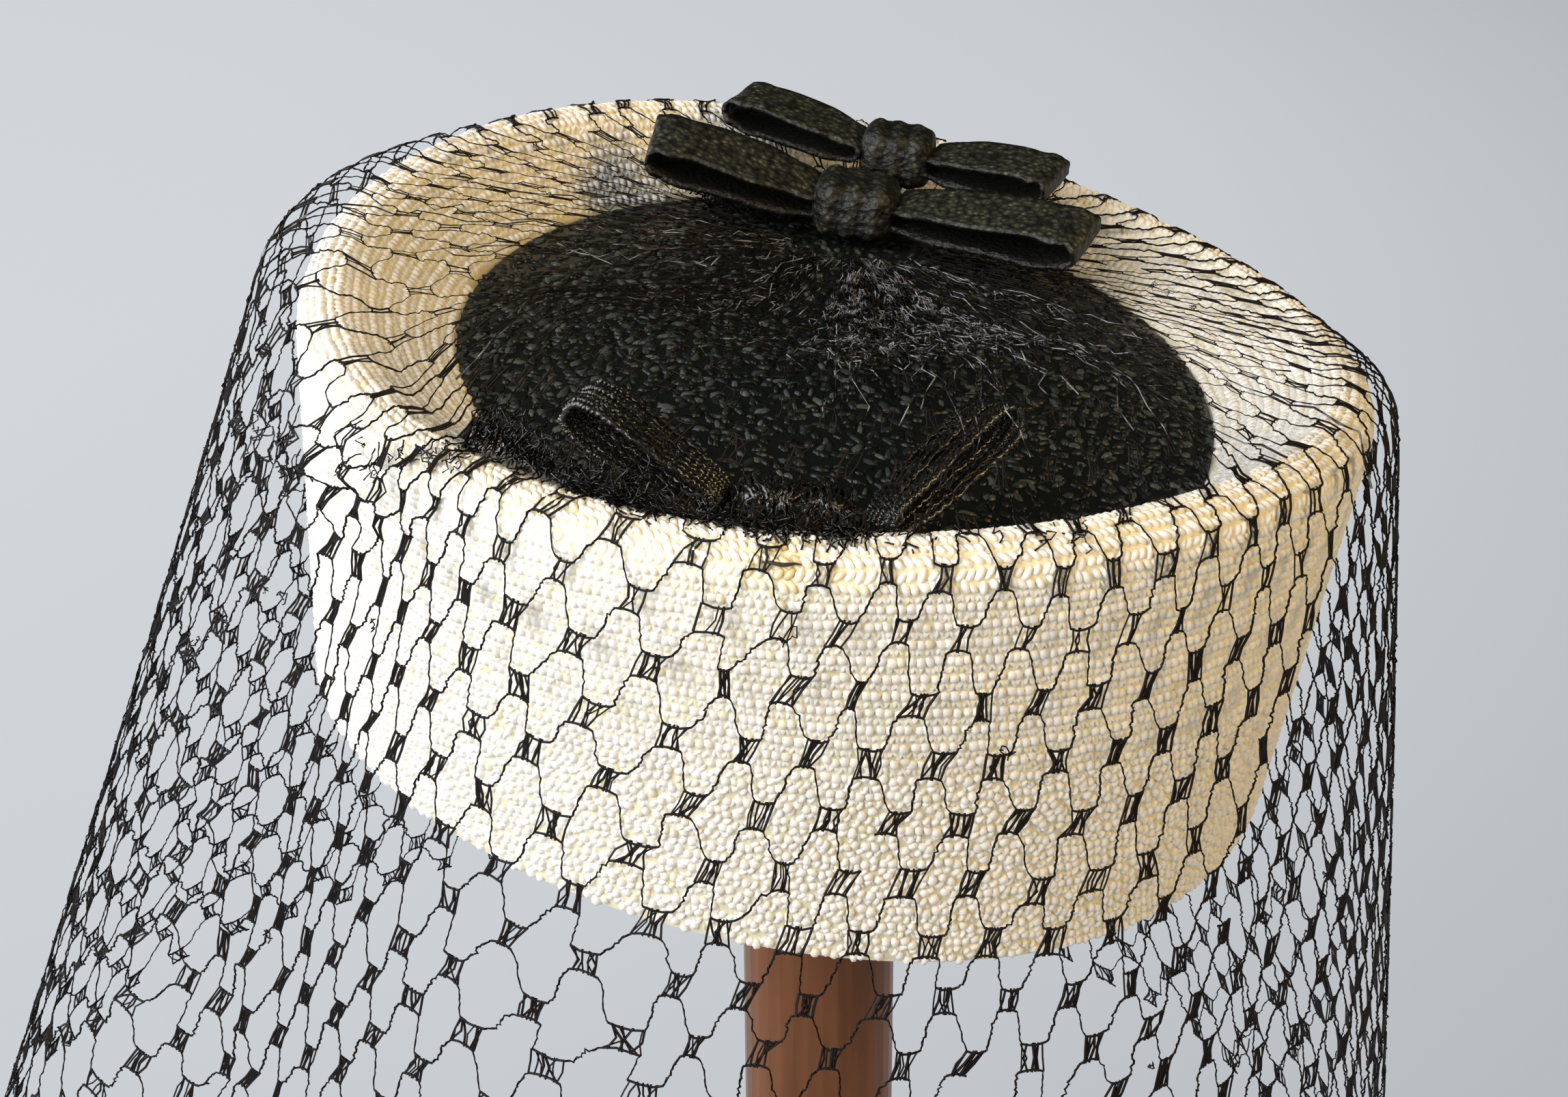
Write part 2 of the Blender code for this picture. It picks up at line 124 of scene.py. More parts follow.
WALL_ROWS = 22  # of braid on the outer wall
ROLL_ROWS = 4
CAMERA_HEADING = 8
CAMERA_RISE = 27.6
CAMERA_DISTANCE = 0.581


class HatBraid(bpy.types.PropertyGroup):
    """Sizes of the sewn straw."""

    row: bpy.props.FloatProperty(
        name="Row height", description="From one row of braid to the next", default=3.2 * MM, unit="LENGTH"
    )
    kernel: bpy.props.FloatProperty(
        name="Knob spacing", description="From one straw knob to the next", default=1.55 * MM, unit="LENGTH"
    )
    proud: bpy.props.FloatProperty(
        name="Knob height", description="How far a knob stands proud", default=0.75 * MM, unit="LENGTH"
    )


class HatNet(bpy.types.PropertyGroup):
    """Sizes of the net."""

    columns: bpy.props.IntProperty(name="Columns", description="Knots round the veil", default=64, min=12)
    row: bpy.props.FloatProperty(
        name="Row height", description="From one row of knots to the next", default=10.2 * MM, unit="LENGTH"
    )
    knot_height: bpy.props.FloatProperty(
        name="Knot height", description="Length of a bundle of strands", default=4.6 * MM, unit="LENGTH"
    )
    knot_width: bpy.props.FloatProperty(
        name="Knot width", description="As a share of the space between knots", default=0.35, min=0.1, max=0.6
    )
    thread: bpy.props.FloatProperty(
        name="Thread", description="Half the thickness of a twisted thread", default=0.28 * MM, unit="LENGTH"
    )


class HatColours(bpy.types.PropertyGroup):
    """Colours of the straw, net and stand."""

    straw: bpy.props.FloatVectorProperty(
        name="Cream straw", description="Colour of the cuff", default=(0.935, 0.915, 0.865), subtype="COLOR"
    )
    # painted shade: the darker, yellower colour that the straw is given between the knobs, where shade falls
    shade: bpy.props.FloatVectorProperty(
        name="Straw shade",
        description="Colour between the knobs",
        default=(0.86, 0.775, 0.48),
        subtype="COLOR",
    )
    net: bpy.props.FloatVectorProperty(
        name="Net", description="Colour of the threads", default=(0.009, 0.007, 0.0068), subtype="COLOR"
    )
    post: bpy.props.FloatVectorProperty(
        name="Post", description="Colour of the stand", default=(0.155, 0.062, 0.027), subtype="COLOR"
    )


def smooth(value, low, high):
    """0 below low, 1 above high, eased between."""
    share = np.clip((value - low) / (high - low), 0, 1)
    return share * share * (3 - 2 * share)


def apart(heading, other):
    return np.abs((heading - other + 180) % 360 - 180)


def unit(vectors):
    return vectors / np.maximum(np.linalg.norm(vectors, axis=-1, keepdims=True), 1e-12)


def oval_radius(width, depth, heading, turn=0):
    angle = np.radians(heading - turn)
    return 1 / np.hypot(2 * np.cos(angle) / width, 2 * np.sin(angle) / depth)


def on_axis(radius, heading, height):
    angle = np.radians(heading)
    return np.stack(np.broadcast_arrays(radius * np.cos(angle), radius * np.sin(angle), height), axis=-1)


def roll_centre(heading):
    turned = np.radians(2 * (heading - OVAL_TURN))
    top = HAT_HEIGHT - RIM_WANDER * np.sin(turned) - RIM_SADDLE * np.cos(turned)
    return oval_radius(RIM_WIDTH, RIM_DEPTH, heading) - ROLL_RADIUS, top - ROLL_RADIUS


def lower_edge(heading):
    height = EDGE_WANDER * np.sin(np.radians(2 * (heading - OVAL_TURN)))
    return oval_radius(EDGE_WIDTH, EDGE_DEPTH, heading), height


def crown_edge(heading):
    return oval_radius(CROWN_WIDTH, CROWN_DEPTH, heading, OVAL_TURN), HAT_HEIGHT - CROWN_DROP


def tangent_angles(heading):
    """Angles on the rolled rim where the outer wall ends and where the inner slope starts."""
    radius, height = roll_centre(heading)
    edge, crown = lower_edge(heading), crown_edge(heading)
    low = edge[0] - radius, edge[1] - height
    inner = crown[0] - radius, crown[1] - height
    wall = np.arctan2(low[1], low[0]) + np.arccos(ROLL_RADIUS / np.hypot(*low))
    slope = np.arctan2(inner[1], inner[0]) % (2 * np.pi) - np.arccos(ROLL_RADIUS / np.hypot(*inner))
    return wall, slope


def slope_length(heading):
    radius, height = roll_centre(heading)
    angle = tangent_angles(heading)[1]
    edge, level = crown_edge(heading)
    return np.hypot(
        edge - radius - ROLL_RADIUS * np.cos(angle), level - height - ROLL_RADIUS * np.sin(angle)
    )


def cuff_place(heading, rows, row_height):
    """(points, normals) on the cuff's face, a number of rows of braid up from the lower edge, over the rim
    and down the inner slope."""
    radius, height = roll_centre(heading)
    wall, slope = tangent_angles(heading)
    angle = wall + (slope - wall) * np.clip((rows - WALL_ROWS) / ROLL_ROWS, 0, 1)
    out = radius + ROLL_RADIUS * np.cos(angle)
    up = height + ROLL_RADIUS * np.sin(angle)
    edge, crown = lower_edge(heading), crown_edge(heading)
    climbed = np.clip(rows / WALL_ROWS, 0, 1)
    out = edge[0] + (out - edge[0]) * climbed
    up = edge[1] + (up - edge[1]) * climbed
    fallen = np.clip((rows - WALL_ROWS - ROLL_ROWS) * row_height / slope_length(heading), 0, 1)
    out = out + (crown[0] - out) * fallen
    up = up + (crown[1] - up) * fallen
    return on_axis(out, heading, up), on_axis(np.cos(angle), heading, np.sin(angle))


def crown_height(x, y):
    """Height of the crown's face, and past its edge that of the slope or of the rolled rim."""
    heading = np.degrees(np.arctan2(y, x))
    distance = np.hypot(x, y)
    edge, level = crown_edge(heading)
    radius, roll_level = roll_centre(heading)
    slope = tangent_angles(heading)[1]
    start = radius + ROLL_RADIUS * np.cos(slope)
    top = roll_level + ROLL_RADIUS * np.sin(slope)
    on_slope = level + (top - level) * (distance - edge) / (start - edge)
    on_roll = roll_level + np.sqrt(np.maximum(0, ROLL_RADIUS**2 - (distance - radius) ** 2))
    dome = level + CROWN_DOME * (1 - (distance / edge) ** 2)
    return np.where(distance <= edge, dome, np.where(distance < start, on_slope, on_roll))


def crown_place(shares):
    x, y = shares[0] * CROWN_WIDTH / 2, shares[1] * CROWN_DEPTH / 2
    return np.array([x, y, float(crown_height(x, y))])


def folds(table, heading):
    return sum(out * (1 - smooth(apart(heading, middle), 0, half)) for middle, half, out in table)


def veil_path(heading, level):
    """Points of the veil. Level 0 is the gather, 1 the rim's inner side, 2 the hem."""
    radius, height = roll_centre(heading)
    reach = ROLL_RADIUS + VEIL_CLEARANCE + STAND_OFF * folds(VEIL_STAND_OFFS, heading)
    flare, turn_in = np.radians(VEIL_FLARE), np.radians(TURN_IN)
    end = on_axis(radius + reach * np.cos(turn_in), heading, height + reach * np.sin(turn_in))
    centre = crown_place(GATHER_PLACE)
    outward = unit((end - centre)[..., :2])
    start = np.concatenate([centre[:2] + outward * GATHER_RADIUS, 0 * end[..., 2:]], axis=-1)
    start[..., 2] = crown_height(start[..., 0], start[..., 1]) + VEIL_CLEARANCE
    share = np.clip(level, 0, 1)
    inside = start + (end - start) * share[..., None]
    front = 1 - smooth(apart(heading, -90), *RISE_HEADINGS)
    inside[..., 2] += FRONT_RISE * front * np.sin(np.pi * share**2.5)
    angle = turn_in + (flare - turn_in) * np.clip((level - 1) / (OVER_RIM_LEVEL - 1), 0, 1)
    round_rim = on_axis(radius + reach * np.cos(angle), heading, height + reach * np.sin(angle))
    top = height + reach * np.sin(flare)
    share = np.clip((level - OVER_RIM_LEVEL) / (2 - OVER_RIM_LEVEL), 0, 1)
    down = share * (top - HAT_HEIGHT + VEIL_DROP)
    out = radius + reach * np.cos(flare) + down * np.tan(flare)
    out = out + FOLD_DEPTH * folds(VEIL_FOLDS, heading) * share**1.3
    fall = on_axis(out, heading, top - down)
    level = level[..., None]
    return np.where(level <= 1, inside, np.where(level < OVER_RIM_LEVEL, round_rim, fall))


def leant():
    """From the upright hat to where it sits, leant on the post."""
    middle = Vector((0, 0, HAT_HEIGHT / 2))
    turn = np.radians(-LEAN_HEADING)
    lean = Matrix.Rotation(np.radians(HAT_LEAN), 4, Vector((np.sin(turn), np.cos(turn), 0)))
    return Matrix.Translation(middle + Vector((0, 0, HAT_LIFT))) @ lean @ Matrix.Translation(-middle)


def make_piece(name, points, faces, finish, tint=None):
    """An object of the hat, from upright points and arrays of faces. tint is a number at each point, for the
    material."""
    lean = np.array(leant())
    points = points.reshape(-1, 3) @ lean[:3, :3].T + lean[:3, 3]
    corners = np.concatenate([group.ravel() for group in faces]).astype(np.int32)
    counts = np.concatenate([np.full(len(group), group.shape[1]) for group in faces])
    mesh = bpy.data.meshes.new(name)
    mesh.vertices.add(len(points))
    mesh.vertices.foreach_set("co", points.astype(np.float32).ravel())
    mesh.loops.add(len(corners))
    mesh.loops.foreach_set("vertex_index", corners)
    mesh.polygons.add(len(counts))
    mesh.polygons.foreach_set("loop_start", (np.cumsum(counts) - counts).astype(np.int32))
    mesh.update(calc_edges=True)
    mesh.shade_smooth()
    if tint is not None:
        layer = mesh.attributes.new("tint", "FLOAT", "POINT")
        layer.data.foreach_set("value", tint.astype(np.float32).ravel())
    mesh.materials.append(finish)
    made = bpy.data.objects.new(name, mesh)
    bpy.context.scene.collection.objects.link(made)
    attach(made, "root")
    return made


def grid_faces(rows, columns, closed=False):
    """Quads over a grid of points, rows by columns; closed joins the last column to the first."""
    across = columns if closed else columns - 1
    row, column = np.meshgrid(np.arange(rows - 1), np.arange(across), indexing="ij")
    after = (column + 1) % columns
    low, high = row * columns, (row + 1) * columns
    quads = [low + column, low + after, high + after, high + column]
    return np.stack(quads, axis=-1).reshape(-1, 4)


def tubes(paths, ups, radius, sides, flat, twist=0.0):
    """(points, faces) of open tubes along paths of shape (count, steps, 3). flat is how thick they are as a
    share of their width, and twist the radians that they turn at each step."""
    count, steps = paths.shape[:2]
    ahead = unit(np.gradient(paths, axis=1))
    side = unit(np.cross(ahead, ups))
    up = np.cross(side, ahead)
    turn = (twist * np.arange(steps))[None, :, None, None]
    ring = (2 * np.pi * np.arange(sides) / sides)[None, None, :, None]
    radius = np.broadcast_to(np.asarray(radius, float), (count, steps))[:, :, None, None]
    a, b = radius * np.cos(ring), radius * flat * np.sin(ring)
    x, y = a * np.cos(turn) - b * np.sin(turn), a * np.sin(turn) + b * np.cos(turn)
    points = paths[:, :, None] + x * side[:, :, None] + y * up[:, :, None]
    faces = grid_faces(steps, sides, closed=True)
    starts = np.arange(count)[:, None, None] * steps * sides
    return points.reshape(-1, 3), (faces[None] + starts).reshape(-1, 4)


def joined(parts):
    """One (points, faces) of several."""
    points, faces, start = [], [], 0
    for part_points, part_faces in parts:
        points.append(part_points)
        faces.append(part_faces + start)
        start += len(part_points)
    return np.concatenate(points), np.concatenate(faces)


DOME = ((1.0, -0.25), (0.74, 0.66))  # rings of a knob: how wide and how high, as shares
LEAF = ((1.0, -0.3),)
EGG = 0.16  # how much narrower a knob is at one end
# painted shade and highlight: each knob's foot is darkened where shade falls between the knobs, and its tip
# is lightened as a highlight
FOOT_PAINTED_SHADE, TIP_PAINTED_HIGHLIGHT = -0.17, 0.06  # added to a knob's tint at its foot and at its tip


def knobs(places, normals, around, width, height, proud, lean, sides, rings):
    """(points, quads, triangles) of egg-shaped domes or pointed leaves that lie on a surface."""
    count, corners = len(places), len(rings) * sides + 1
    upward = unit(np.cross(normals, around))
    around = unit(np.cross(upward, normals))
    turn = np.radians(lean)[:, None]
    across = around * np.cos(turn) + upward * np.sin(turn)
    along = upward * np.cos(turn) - around * np.sin(turn)
    angle = 2 * np.pi * np.arange(sides) / sides
    egg = 1 - EGG * np.sin(angle)
    points = np.empty((count, corners, 3))
    for ring, (reach, rise) in enumerate(rings):
        points[:, sides * ring : sides * (ring + 1)] = (
            places[:, None]
            + across[:, None] * (width[:, None, None] / 2 * (reach * egg * np.cos(angle))[None, :, None])
            + along[:, None] * (height[:, None, None] / 2 * (reach * np.sin(angle))[None, :, None])
            + normals[:, None] * (proud[:, None, None] * rise)
        )
    points[:, -1] = places + normals * proud[:, None]
    ring = np.arange(sides)
    after = (ring + 1) % sides
    quads = np.stack([ring, after, after + sides, ring + sides], axis=-1)[: sides * (len(rings) - 1)]
    last = sides * (len(rings) - 1)
    tips = np.stack([ring + last, after + last, np.full(sides, last + sides)], axis=-1)
    starts = np.arange(count)[:, None, None] * corners
    return points.reshape(-1, 3), (quads[None] + starts).reshape(-1, 4), (tips[None] + starts).reshape(-1, 3)


class Sewing:
    """Gathers knobs into one piece."""

    def __init__(self):
        self.points, self.quads, self.tips, self.tints, self.start = [], [], [], [], 0

    def add(self, knob_mesh, tint, sides, rings):
        points, quads, tips = knob_mesh
        self.points.append(points)
        self.quads.append(quads + self.start)
        self.tips.append(tips + self.start)
        # painted shade at each knob's foot, a painted highlight at its tip
        painted_shading = [FOOT_PAINTED_SHADE] * sides + [0.0] * (sides * (len(rings) - 1)) + [TIP_PAINTED_HIGHLIGHT]
        self.tints.append((tint[:, None] + np.array(painted_shading)).ravel())
        self.start += len(points)

    def make(self, name, finish, slot):
        faces = [np.concatenate(self.quads), np.concatenate(self.tips)]
        faces = [group for group in faces if len(group)]
        made = make_piece(name, np.concatenate(self.points), faces, finish, np.concatenate(self.tints))


class Recipe:
    """A material's nodes, added one at a time round a Principled shader."""

    def __init__(self, name, roughness, **constants):
        self.material = bpy.data.materials.new(name)
        self.material.use_nodes = True
        self.tree = self.material.node_tree
        self.shader = self.tree.nodes["Principled BSDF"]
        self.shader.inputs["Roughness"].default_value = roughness
        for socket, value in constants.items():
            self.shader.inputs[socket.replace("_", " ")].default_value = value

    def add(self, kind, sockets=None, **settings):
        made = self.tree.nodes.new("ShaderNode" + kind)
        for name, value in settings.items():
            setattr(made, name, value)
        for name, value in (sockets or {}).items():
            if isinstance(value, bpy.types.NodeSocket):
                self.tree.links.new(value, made.inputs[name])
            else:
                made.inputs[name].default_value = value
        return made

    def math(self, operation, *values):
        return self.add("Math", dict(enumerate(values)), operation=operation).outputs[0]

    def tint(self):
        """The number that make_piece keeps at each point."""
        return self.add("Attribute", attribute_name="tint").outputs["Fac"]

    def noise(self, scale, detail, vector=None):
        vector = self.place() if vector is None else vector
        return self.add("TexNoise", {"Vector": vector, "Scale": scale, "Detail": detail}).outputs["Fac"]

    def ramp(self, factor, *stops):
        made = self.add("ValToRGB", {"Fac": factor})
        band = made.color_ramp
        while len(band.elements) < len(stops):
            band.elements.new(0.5)
        for element, (place, colour) in zip(band.elements, stops):
            element.position = place
            element.color = (*colour, 1)
        return made.outputs["Color"]

    def place(self):
        return self.add("TexCoord").outputs["Object"]

    def bump(self, height, distance, strength):
        made = self.add("Bump", {"Height": height, "Distance": distance, "Strength": strength})
        self.tree.links.new(made.outputs["Normal"], self.shader.inputs["Normal"])

    def link(self, output, socket):
        self.tree.links.new(output, self.shader.inputs[socket])


def cream_straw(colours):
    """Sewn straw: pearly, with painted shade, darker and yellower, between the knobs, its tone varying from
    one knob to the next.
    """
    recipe = Recipe("cream straw braid", 0.5, Sheen_Weight=0.1)
    patch = recipe.math("MULTIPLY_ADD", recipe.noise(38, 4), 0.08, -0.04)
    shade = recipe.math("ADD", recipe.tint(), patch)
    painted_gap_shade, mid = tuple(colours.shade), tuple(colours.straw)
    bright = tuple(min(1, 1.07 * value) for value in mid)
    # Stops: near black for the open seam's painted shadow, the stain's yellow, the painted shade between the
    # knobs, the straw, and its brightest tone, towards which the knobs' painted tip highlights lean.
    stops = ((0.0, (0.02, 0.014, 0.008)), (0.16, (0.5, 0.3, 0.07)), (0.42, painted_gap_shade), (0.66, mid), (1.0, bright))
    recipe.link(recipe.ramp(shade, *stops), "Base Color")
    recipe.bump(recipe.noise(2600, 2), 0.1 * MM, 0.5)
    return recipe.material


def black_straw():
    """Sewn black straw, a few of its straws painted grey as glints."""
    recipe = Recipe("black straw braid", 0.34, Specular_IOR_Level=0.35)
    # painted highlights: knobs with the highest tint turn grey as glints; the knobs' painted shade at the
    # foot and painted highlight at the tip run through this ramp too
    stops = ((0.0, (0.003, 0.004, 0.0035)), (0.7, (0.013, 0.018, 0.0155)), (1.0, (0.075, 0.088, 0.08)))
    recipe.link(recipe.ramp(recipe.tint(), *stops), "Base Color")
    recipe.bump(recipe.noise(1800, 3), 0.15 * MM, 0.7)
    return recipe.material


def black_ribbon():
    """Coarsely woven black straw ribbon, with olive speckles painted as fine glints, and painted shade where
    its tint is low.
    """
    recipe = Recipe("black straw ribbon", 0.5, Specular_IOR_Level=0.4)
    place = recipe.place()
    # the weave's spots give its bumps, and their middles are painted olive as glints
    weave_spots_and_glints = recipe.add("TexVoronoi", {"Vector": place, "Scale": 750.0}).outputs["Distance"]
    blotch = recipe.math("MULTIPLY_ADD", recipe.noise(420, 3, place), 0.9, -0.3)
    # painted shade: where the tint is low, on the loops' lower layers and inner faces and in the knot's rib
    # troughs, the ribbon is darkened
    inside = recipe.math("SUBTRACT", 1.0, recipe.tint())
    weave_glints_and_shade = recipe.math("ADD", recipe.math("ADD", weave_spots_and_glints, blotch), recipe.math("MULTIPLY", inside, 0.7))
    # Stops: olive painted glints, the weave's tone, and near black for the painted shade
    stops = (
        (0.1, (0.17, 0.17, 0.11)),
        (0.3, (0.055, 0.058, 0.038)),
        (0.6, (0.02, 0.022, 0.015)),
        (0.95, (0.003, 0.003, 0.002)),
    )
    recipe.link(recipe.ramp(weave_glints_and_shade, *stops), "Base Color")
    recipe.bump(recipe.math("ADD", weave_spots_and_glints, recipe.noise(1300, 3, place)), 0.35 * MM, 1.0)
    return recipe.material


def black_cord():
    """Glossy cord, with grey glints painted in its colour."""
    recipe = Recipe("black cord", 0.2, Specular_IOR_Level=0.8)
    grain = recipe.noise(1600, 3)
    # painted highlights: the top stop paints grey glints where the grain noise is high
    stops = ((0.3, (0.002, 0.002, 0.002)), (0.58, (0.01, 0.0105, 0.009)), (0.7, (0.1, 0.108, 0.09)))
    recipe.link(recipe.ramp(grain, *stops), "Base Color")
    recipe.bump(grain, 0.12 * MM, 0.8)
    return recipe.material


def net_thread(colours):
    recipe = Recipe("black net thread", 0.45, Specular_IOR_Level=0.15)
    dark = tuple(colours.net)
    wear_and_glint = tuple(1.8 * value for value in dark)
    recipe.link(recipe.ramp(recipe.noise(700, 2), (0.35, dark), (0.7, wear_and_glint)), "Base Color")
    recipe.bump(recipe.noise(2600, 2), 0.08 * MM, 0.8)
    return recipe.material


def bunched_thread(name, wear_and_glint):
    """Glossy strands, with grey patches painted as glints."""
    recipe = Recipe(name, 0.24, Specular_IOR_Level=0.5)
    grey = tuple(0.12 * value for value in wear_and_glint)
    # painted highlights: noise patches in the grey colour stand for glints
    stops = ((0.4, (0.004, 0.004, 0.004)), (0.5, grey), (0.58, wear_and_glint))
    recipe.link(recipe.ramp(recipe.noise(260, 3), *stops), "Base Color")
    recipe.bump(recipe.noise(2600, 2), 0.08 * MM, 0.8)
    return recipe.material


def satin_post(colours):
    """Satin brown finish, with a faint grain up the post."""
    recipe = Recipe("brown post", 0.3, Specular_IOR_Level=0.15)
    stretched = recipe.add("Mapping", {"Vector": recipe.place(), "Scale": (1.0, 1.0, 0.08)}).outputs["Vector"]
    grain = recipe.noise(260, 4, stretched)
    dark = tuple(0.8 * value for value in colours.post)
    light = tuple(min(1, 1.2 * value) for value in colours.post)
    recipe.link(recipe.ramp(grain, (0.3, dark), (0.7, light)), "Base Color")
    recipe.bump(grain, 0.05 * MM, 0.4)
    return recipe.material


STITCHES = {
    # layers of a row: place up the row, shift along it in knobs, lean in degrees, width as a share of the
    # knob spacing, height as a share of the row, how proud, sides, rings
    "seed": (
        (0.27, 0, 24, 1.18, 0.7, 0.82, 6, DOME),
        (0.75, 0, 34, 0.66, 0.8, 0.86, 6, LEAF),
        (0.75, 0.5, -34, 0.66, 0.8, 0.86, 6, LEAF),
    ),
    "curl": (
        (0.27, 0, 28, 1.15, 0.68, 1.0, 6, DOME),
        (0.76, 0.5, -38, 0.84, 0.66, 0.85, 5, DOME),
        (0.72, 0.05, 42, 0.6, 0.85, 0.85, 4, LEAF),
    ),
    "rope": ((0.3, 0, 54, 0.95, 0.95, 1.05, 6, DOME), (0.82, 0.5, 54, 0.85, 0.8, 0.85, 5, DOME)),
    "plait": ((0.27, 0, 38, 0.92, 0.86, 0.75, 6, DOME), (0.76, 0.5, -38, 0.92, 0.86, 0.75, 6, DOME)),
}
CURL_ROWS = 11  # the lowest rows, sewn in small scallops
SCALLOP = 3.1 * MM
STAIN_HEADING = -88  # of the yellowed spot and the open seam under the lip


def stitch_kind(row):
    above = row - WALL_ROWS
    if above in (1, 2):
        return "rope"
    if above == 0:
        return "plait"
    return "curl" if row < CURL_ROWS else "seed"


def sew_row(sewing, row, layer, phase, braid, rng):
    """One layer of a row of braid."""
    place, shift, lean, width, height, proud, sides, rings = layer
    middle = cuff_place(np.zeros(1), np.array([row + 0.5]), braid.row)[0]
    girth = 2 * np.pi * np.hypot(middle[0, 0], middle[0, 1])
    count = int(girth / braid.kernel)
    heading = (np.arange(count) + phase + shift + rng.normal(0, 0.1, count)) * 360 / count
    low = 1 - smooth(row, CURL_ROWS - 3, CURL_ROWS + 3)
    scallop = np.abs(np.sin(np.radians(heading / 2) * int(girth / SCALLOP))) - 0.64
    rows = row + place + rng.normal(0, 0.04 + 0.05 * low, count) + 0.3 * low * scallop
    over = (rows - WALL_ROWS - ROLL_ROWS) * braid.row
    kept = (over < slope_length(heading) - 0.6 * MM) & (rows > 0.12)
    heading, rows = heading[kept], rows[kept]
    count = len(heading)
    points, normals = cuff_place(heading, rows, braid.row)
    ahead = unit(cuff_place(heading + 0.5, rows, braid.row)[0] - points)
    sizes = rng.uniform(0.85, 1.18, (3, count))
    mesh = knobs(
        points,
        normals,
        ahead,
        braid.kernel * width * sizes[0],
        braid.row * height * sizes[1],
        braid.proud * proud * sizes[2],
        lean + rng.normal(0, 9 + 8 * low, count),
        sides,
        rings,
    )
    stained = np.exp(-((apart(heading, STAIN_HEADING) / 2.5) ** 2) - ((rows - WALL_ROWS - 1.2) / 0.9) ** 2)
    sewing.add(mesh, rng.normal(0.72, 0.09, count).clip(0.5, 1) - 0.45 * stained, sides, rings)


def make_cuff(braid, finish):
    """A smooth shell with the braid's rows marked out on it, and the straw sewn over its face."""
    rng = np.random.default_rng(7)
    round_steps = 160
    heading = np.arange(round_steps) * 360 / round_steps
    most = int(slope_length(np.arange(360.0)).max() / braid.row) + 1
    top = WALL_ROWS + ROLL_ROWS
    rows = np.concatenate([np.arange(0, top, 0.5), top + np.arange(0, most + 0.5, 0.5)])
    grid_heading, grid_rows = np.meshgrid(heading, rows)
    outer, normals = cuff_place(grid_heading, grid_rows, braid.row)
    ridge = 0.15 * MM * np.cos(2 * np.pi * (grid_rows - 0.3))
    outer = outer + normals * ridge[..., None]
    inner = (outer - normals * STRAW)[::-2]
    shell = np.concatenate([outer, inner, outer[:1]])
    # painted shade: the shell's outer face, seen between the knobs, is tinted darker than they are, towards
    # the painted shade colour
    tint = np.where(np.arange(len(shell)) < len(rows), 0.48, 0.62)[:, None] + 0 * shell[..., 0]
    faces = grid_faces(len(shell), round_steps, closed=True)
    made = make_piece("straw_shell", shell, [faces[:, ::-1]], finish, tint)
    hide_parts("straw_cuff")
    seeds, stitches, rim = Sewing(), Sewing(), Sewing()
    for row in range(top + most):
        phase = rng.random()
        for number, layer in enumerate(STITCHES[stitch_kind(row)]):
            sewing = rim if row >= WALL_ROWS else (stitches if number else seeds)
            sew_row(sewing, row, layer, phase, braid, rng)
    for name, sewing in (("straw_seeds", seeds), ("straw_stitches", stitches), ("straw_rim", rim)):
        sewing.make(name, finish, "cream_straw")
    painted_seam_shadow(braid, finish)


def painted_seam_shadow(braid, finish):
    """A thin dark tube, painted shadow in the short gap where the lip's last rows have come apart."""
    heading = STAIN_HEADING + np.linspace(-1.8, 1.8, 24)
    rows = WALL_ROWS + 1.12 + 0.03 * np.sin(np.linspace(0, 9, 24))
    points, normals = cuff_place(heading, rows, braid.row)
    path = points + normals * 0.75 * MM
    width = 0.3 * MM * np.sin(np.linspace(0.1, np.pi - 0.1, 24)) + 0.05 * MM
    points, faces = tubes(path[None], normals[None], width[None], 6, 0.5)
    # painted shadow: the tint lies below the straw ramp's first stop, so the tube is nearly black
    made = make_piece("straw_painted_seam_shadow", points, [faces], finish, np.full(len(points), -0.3))


def make_crown(braid, finish):
    """The black crown: rows of straw worked in ovals out from its middle."""
    rng = np.random.default_rng(11)
    shares = np.concatenate([np.linspace(0.001, 1, 36), [1.0]])
    round_steps = 144
    heading = np.arange(round_steps) * 360 / round_steps
    grid_heading, grid_share = np.meshgrid(heading, shares)
    edge, level = crown_edge(grid_heading)
    face = on_axis((edge - GAP) * grid_share, grid_heading, level + CROWN_DOME * (1 - grid_share**2))
    face[-1, :, 2] -= 1.5 * MM
    tint = 0 * face[..., 0] + 0.2
    cap = np.arange(round_steps)[None]
    faces = [grid_faces(len(shares), round_steps, closed=True), cap]
    made = make_piece("straw_tip", face, faces, finish, tint)
    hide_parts("straw_crown")
    sewing = Sewing()
    widest = CROWN_DEPTH / 2
    for row in range(int(widest / braid.row)):
        share = 1 - (row + 0.5) * braid.row / widest
        count = int(share * np.pi * (CROWN_WIDTH + CROWN_DEPTH) / 2 / braid.kernel)
        if count < 4:
            continue
        heading = (np.arange(count) + rng.normal(0, 0.4, count)) * 360 / count
        part = share + rng.normal(0, 0.26, count) * braid.row / widest
        part = part.clip(0, 1 - 0.6 * MM / widest)
        edge, level = crown_edge(heading)
        places = on_axis((edge - GAP) * part, heading, level + CROWN_DOME * (1 - part**2))
        normals = unit(places * np.array([0.12, 0.12, 0]) + np.array([0, 0, 0.065]))
        around = unit(on_axis(1, heading + 90, 0 * heading))
        size = rng.uniform(0.6, 1.3, (3, count))
        lean = rng.normal(np.where(row % 2, 40, -40), 35, count)
        width, height, proud = braid.kernel * size[0], braid.row * size[1], 0.5 * MM * size[2]
        mesh = knobs(places, normals, around, width, height, proud, lean, 5, DOME)
        # the random tint picks the knobs that are painted grey as glints
        sewing.add(mesh, rng.random(count), 5, DOME)
    sewing.make("straw_tip_rows", finish, "black_straw")


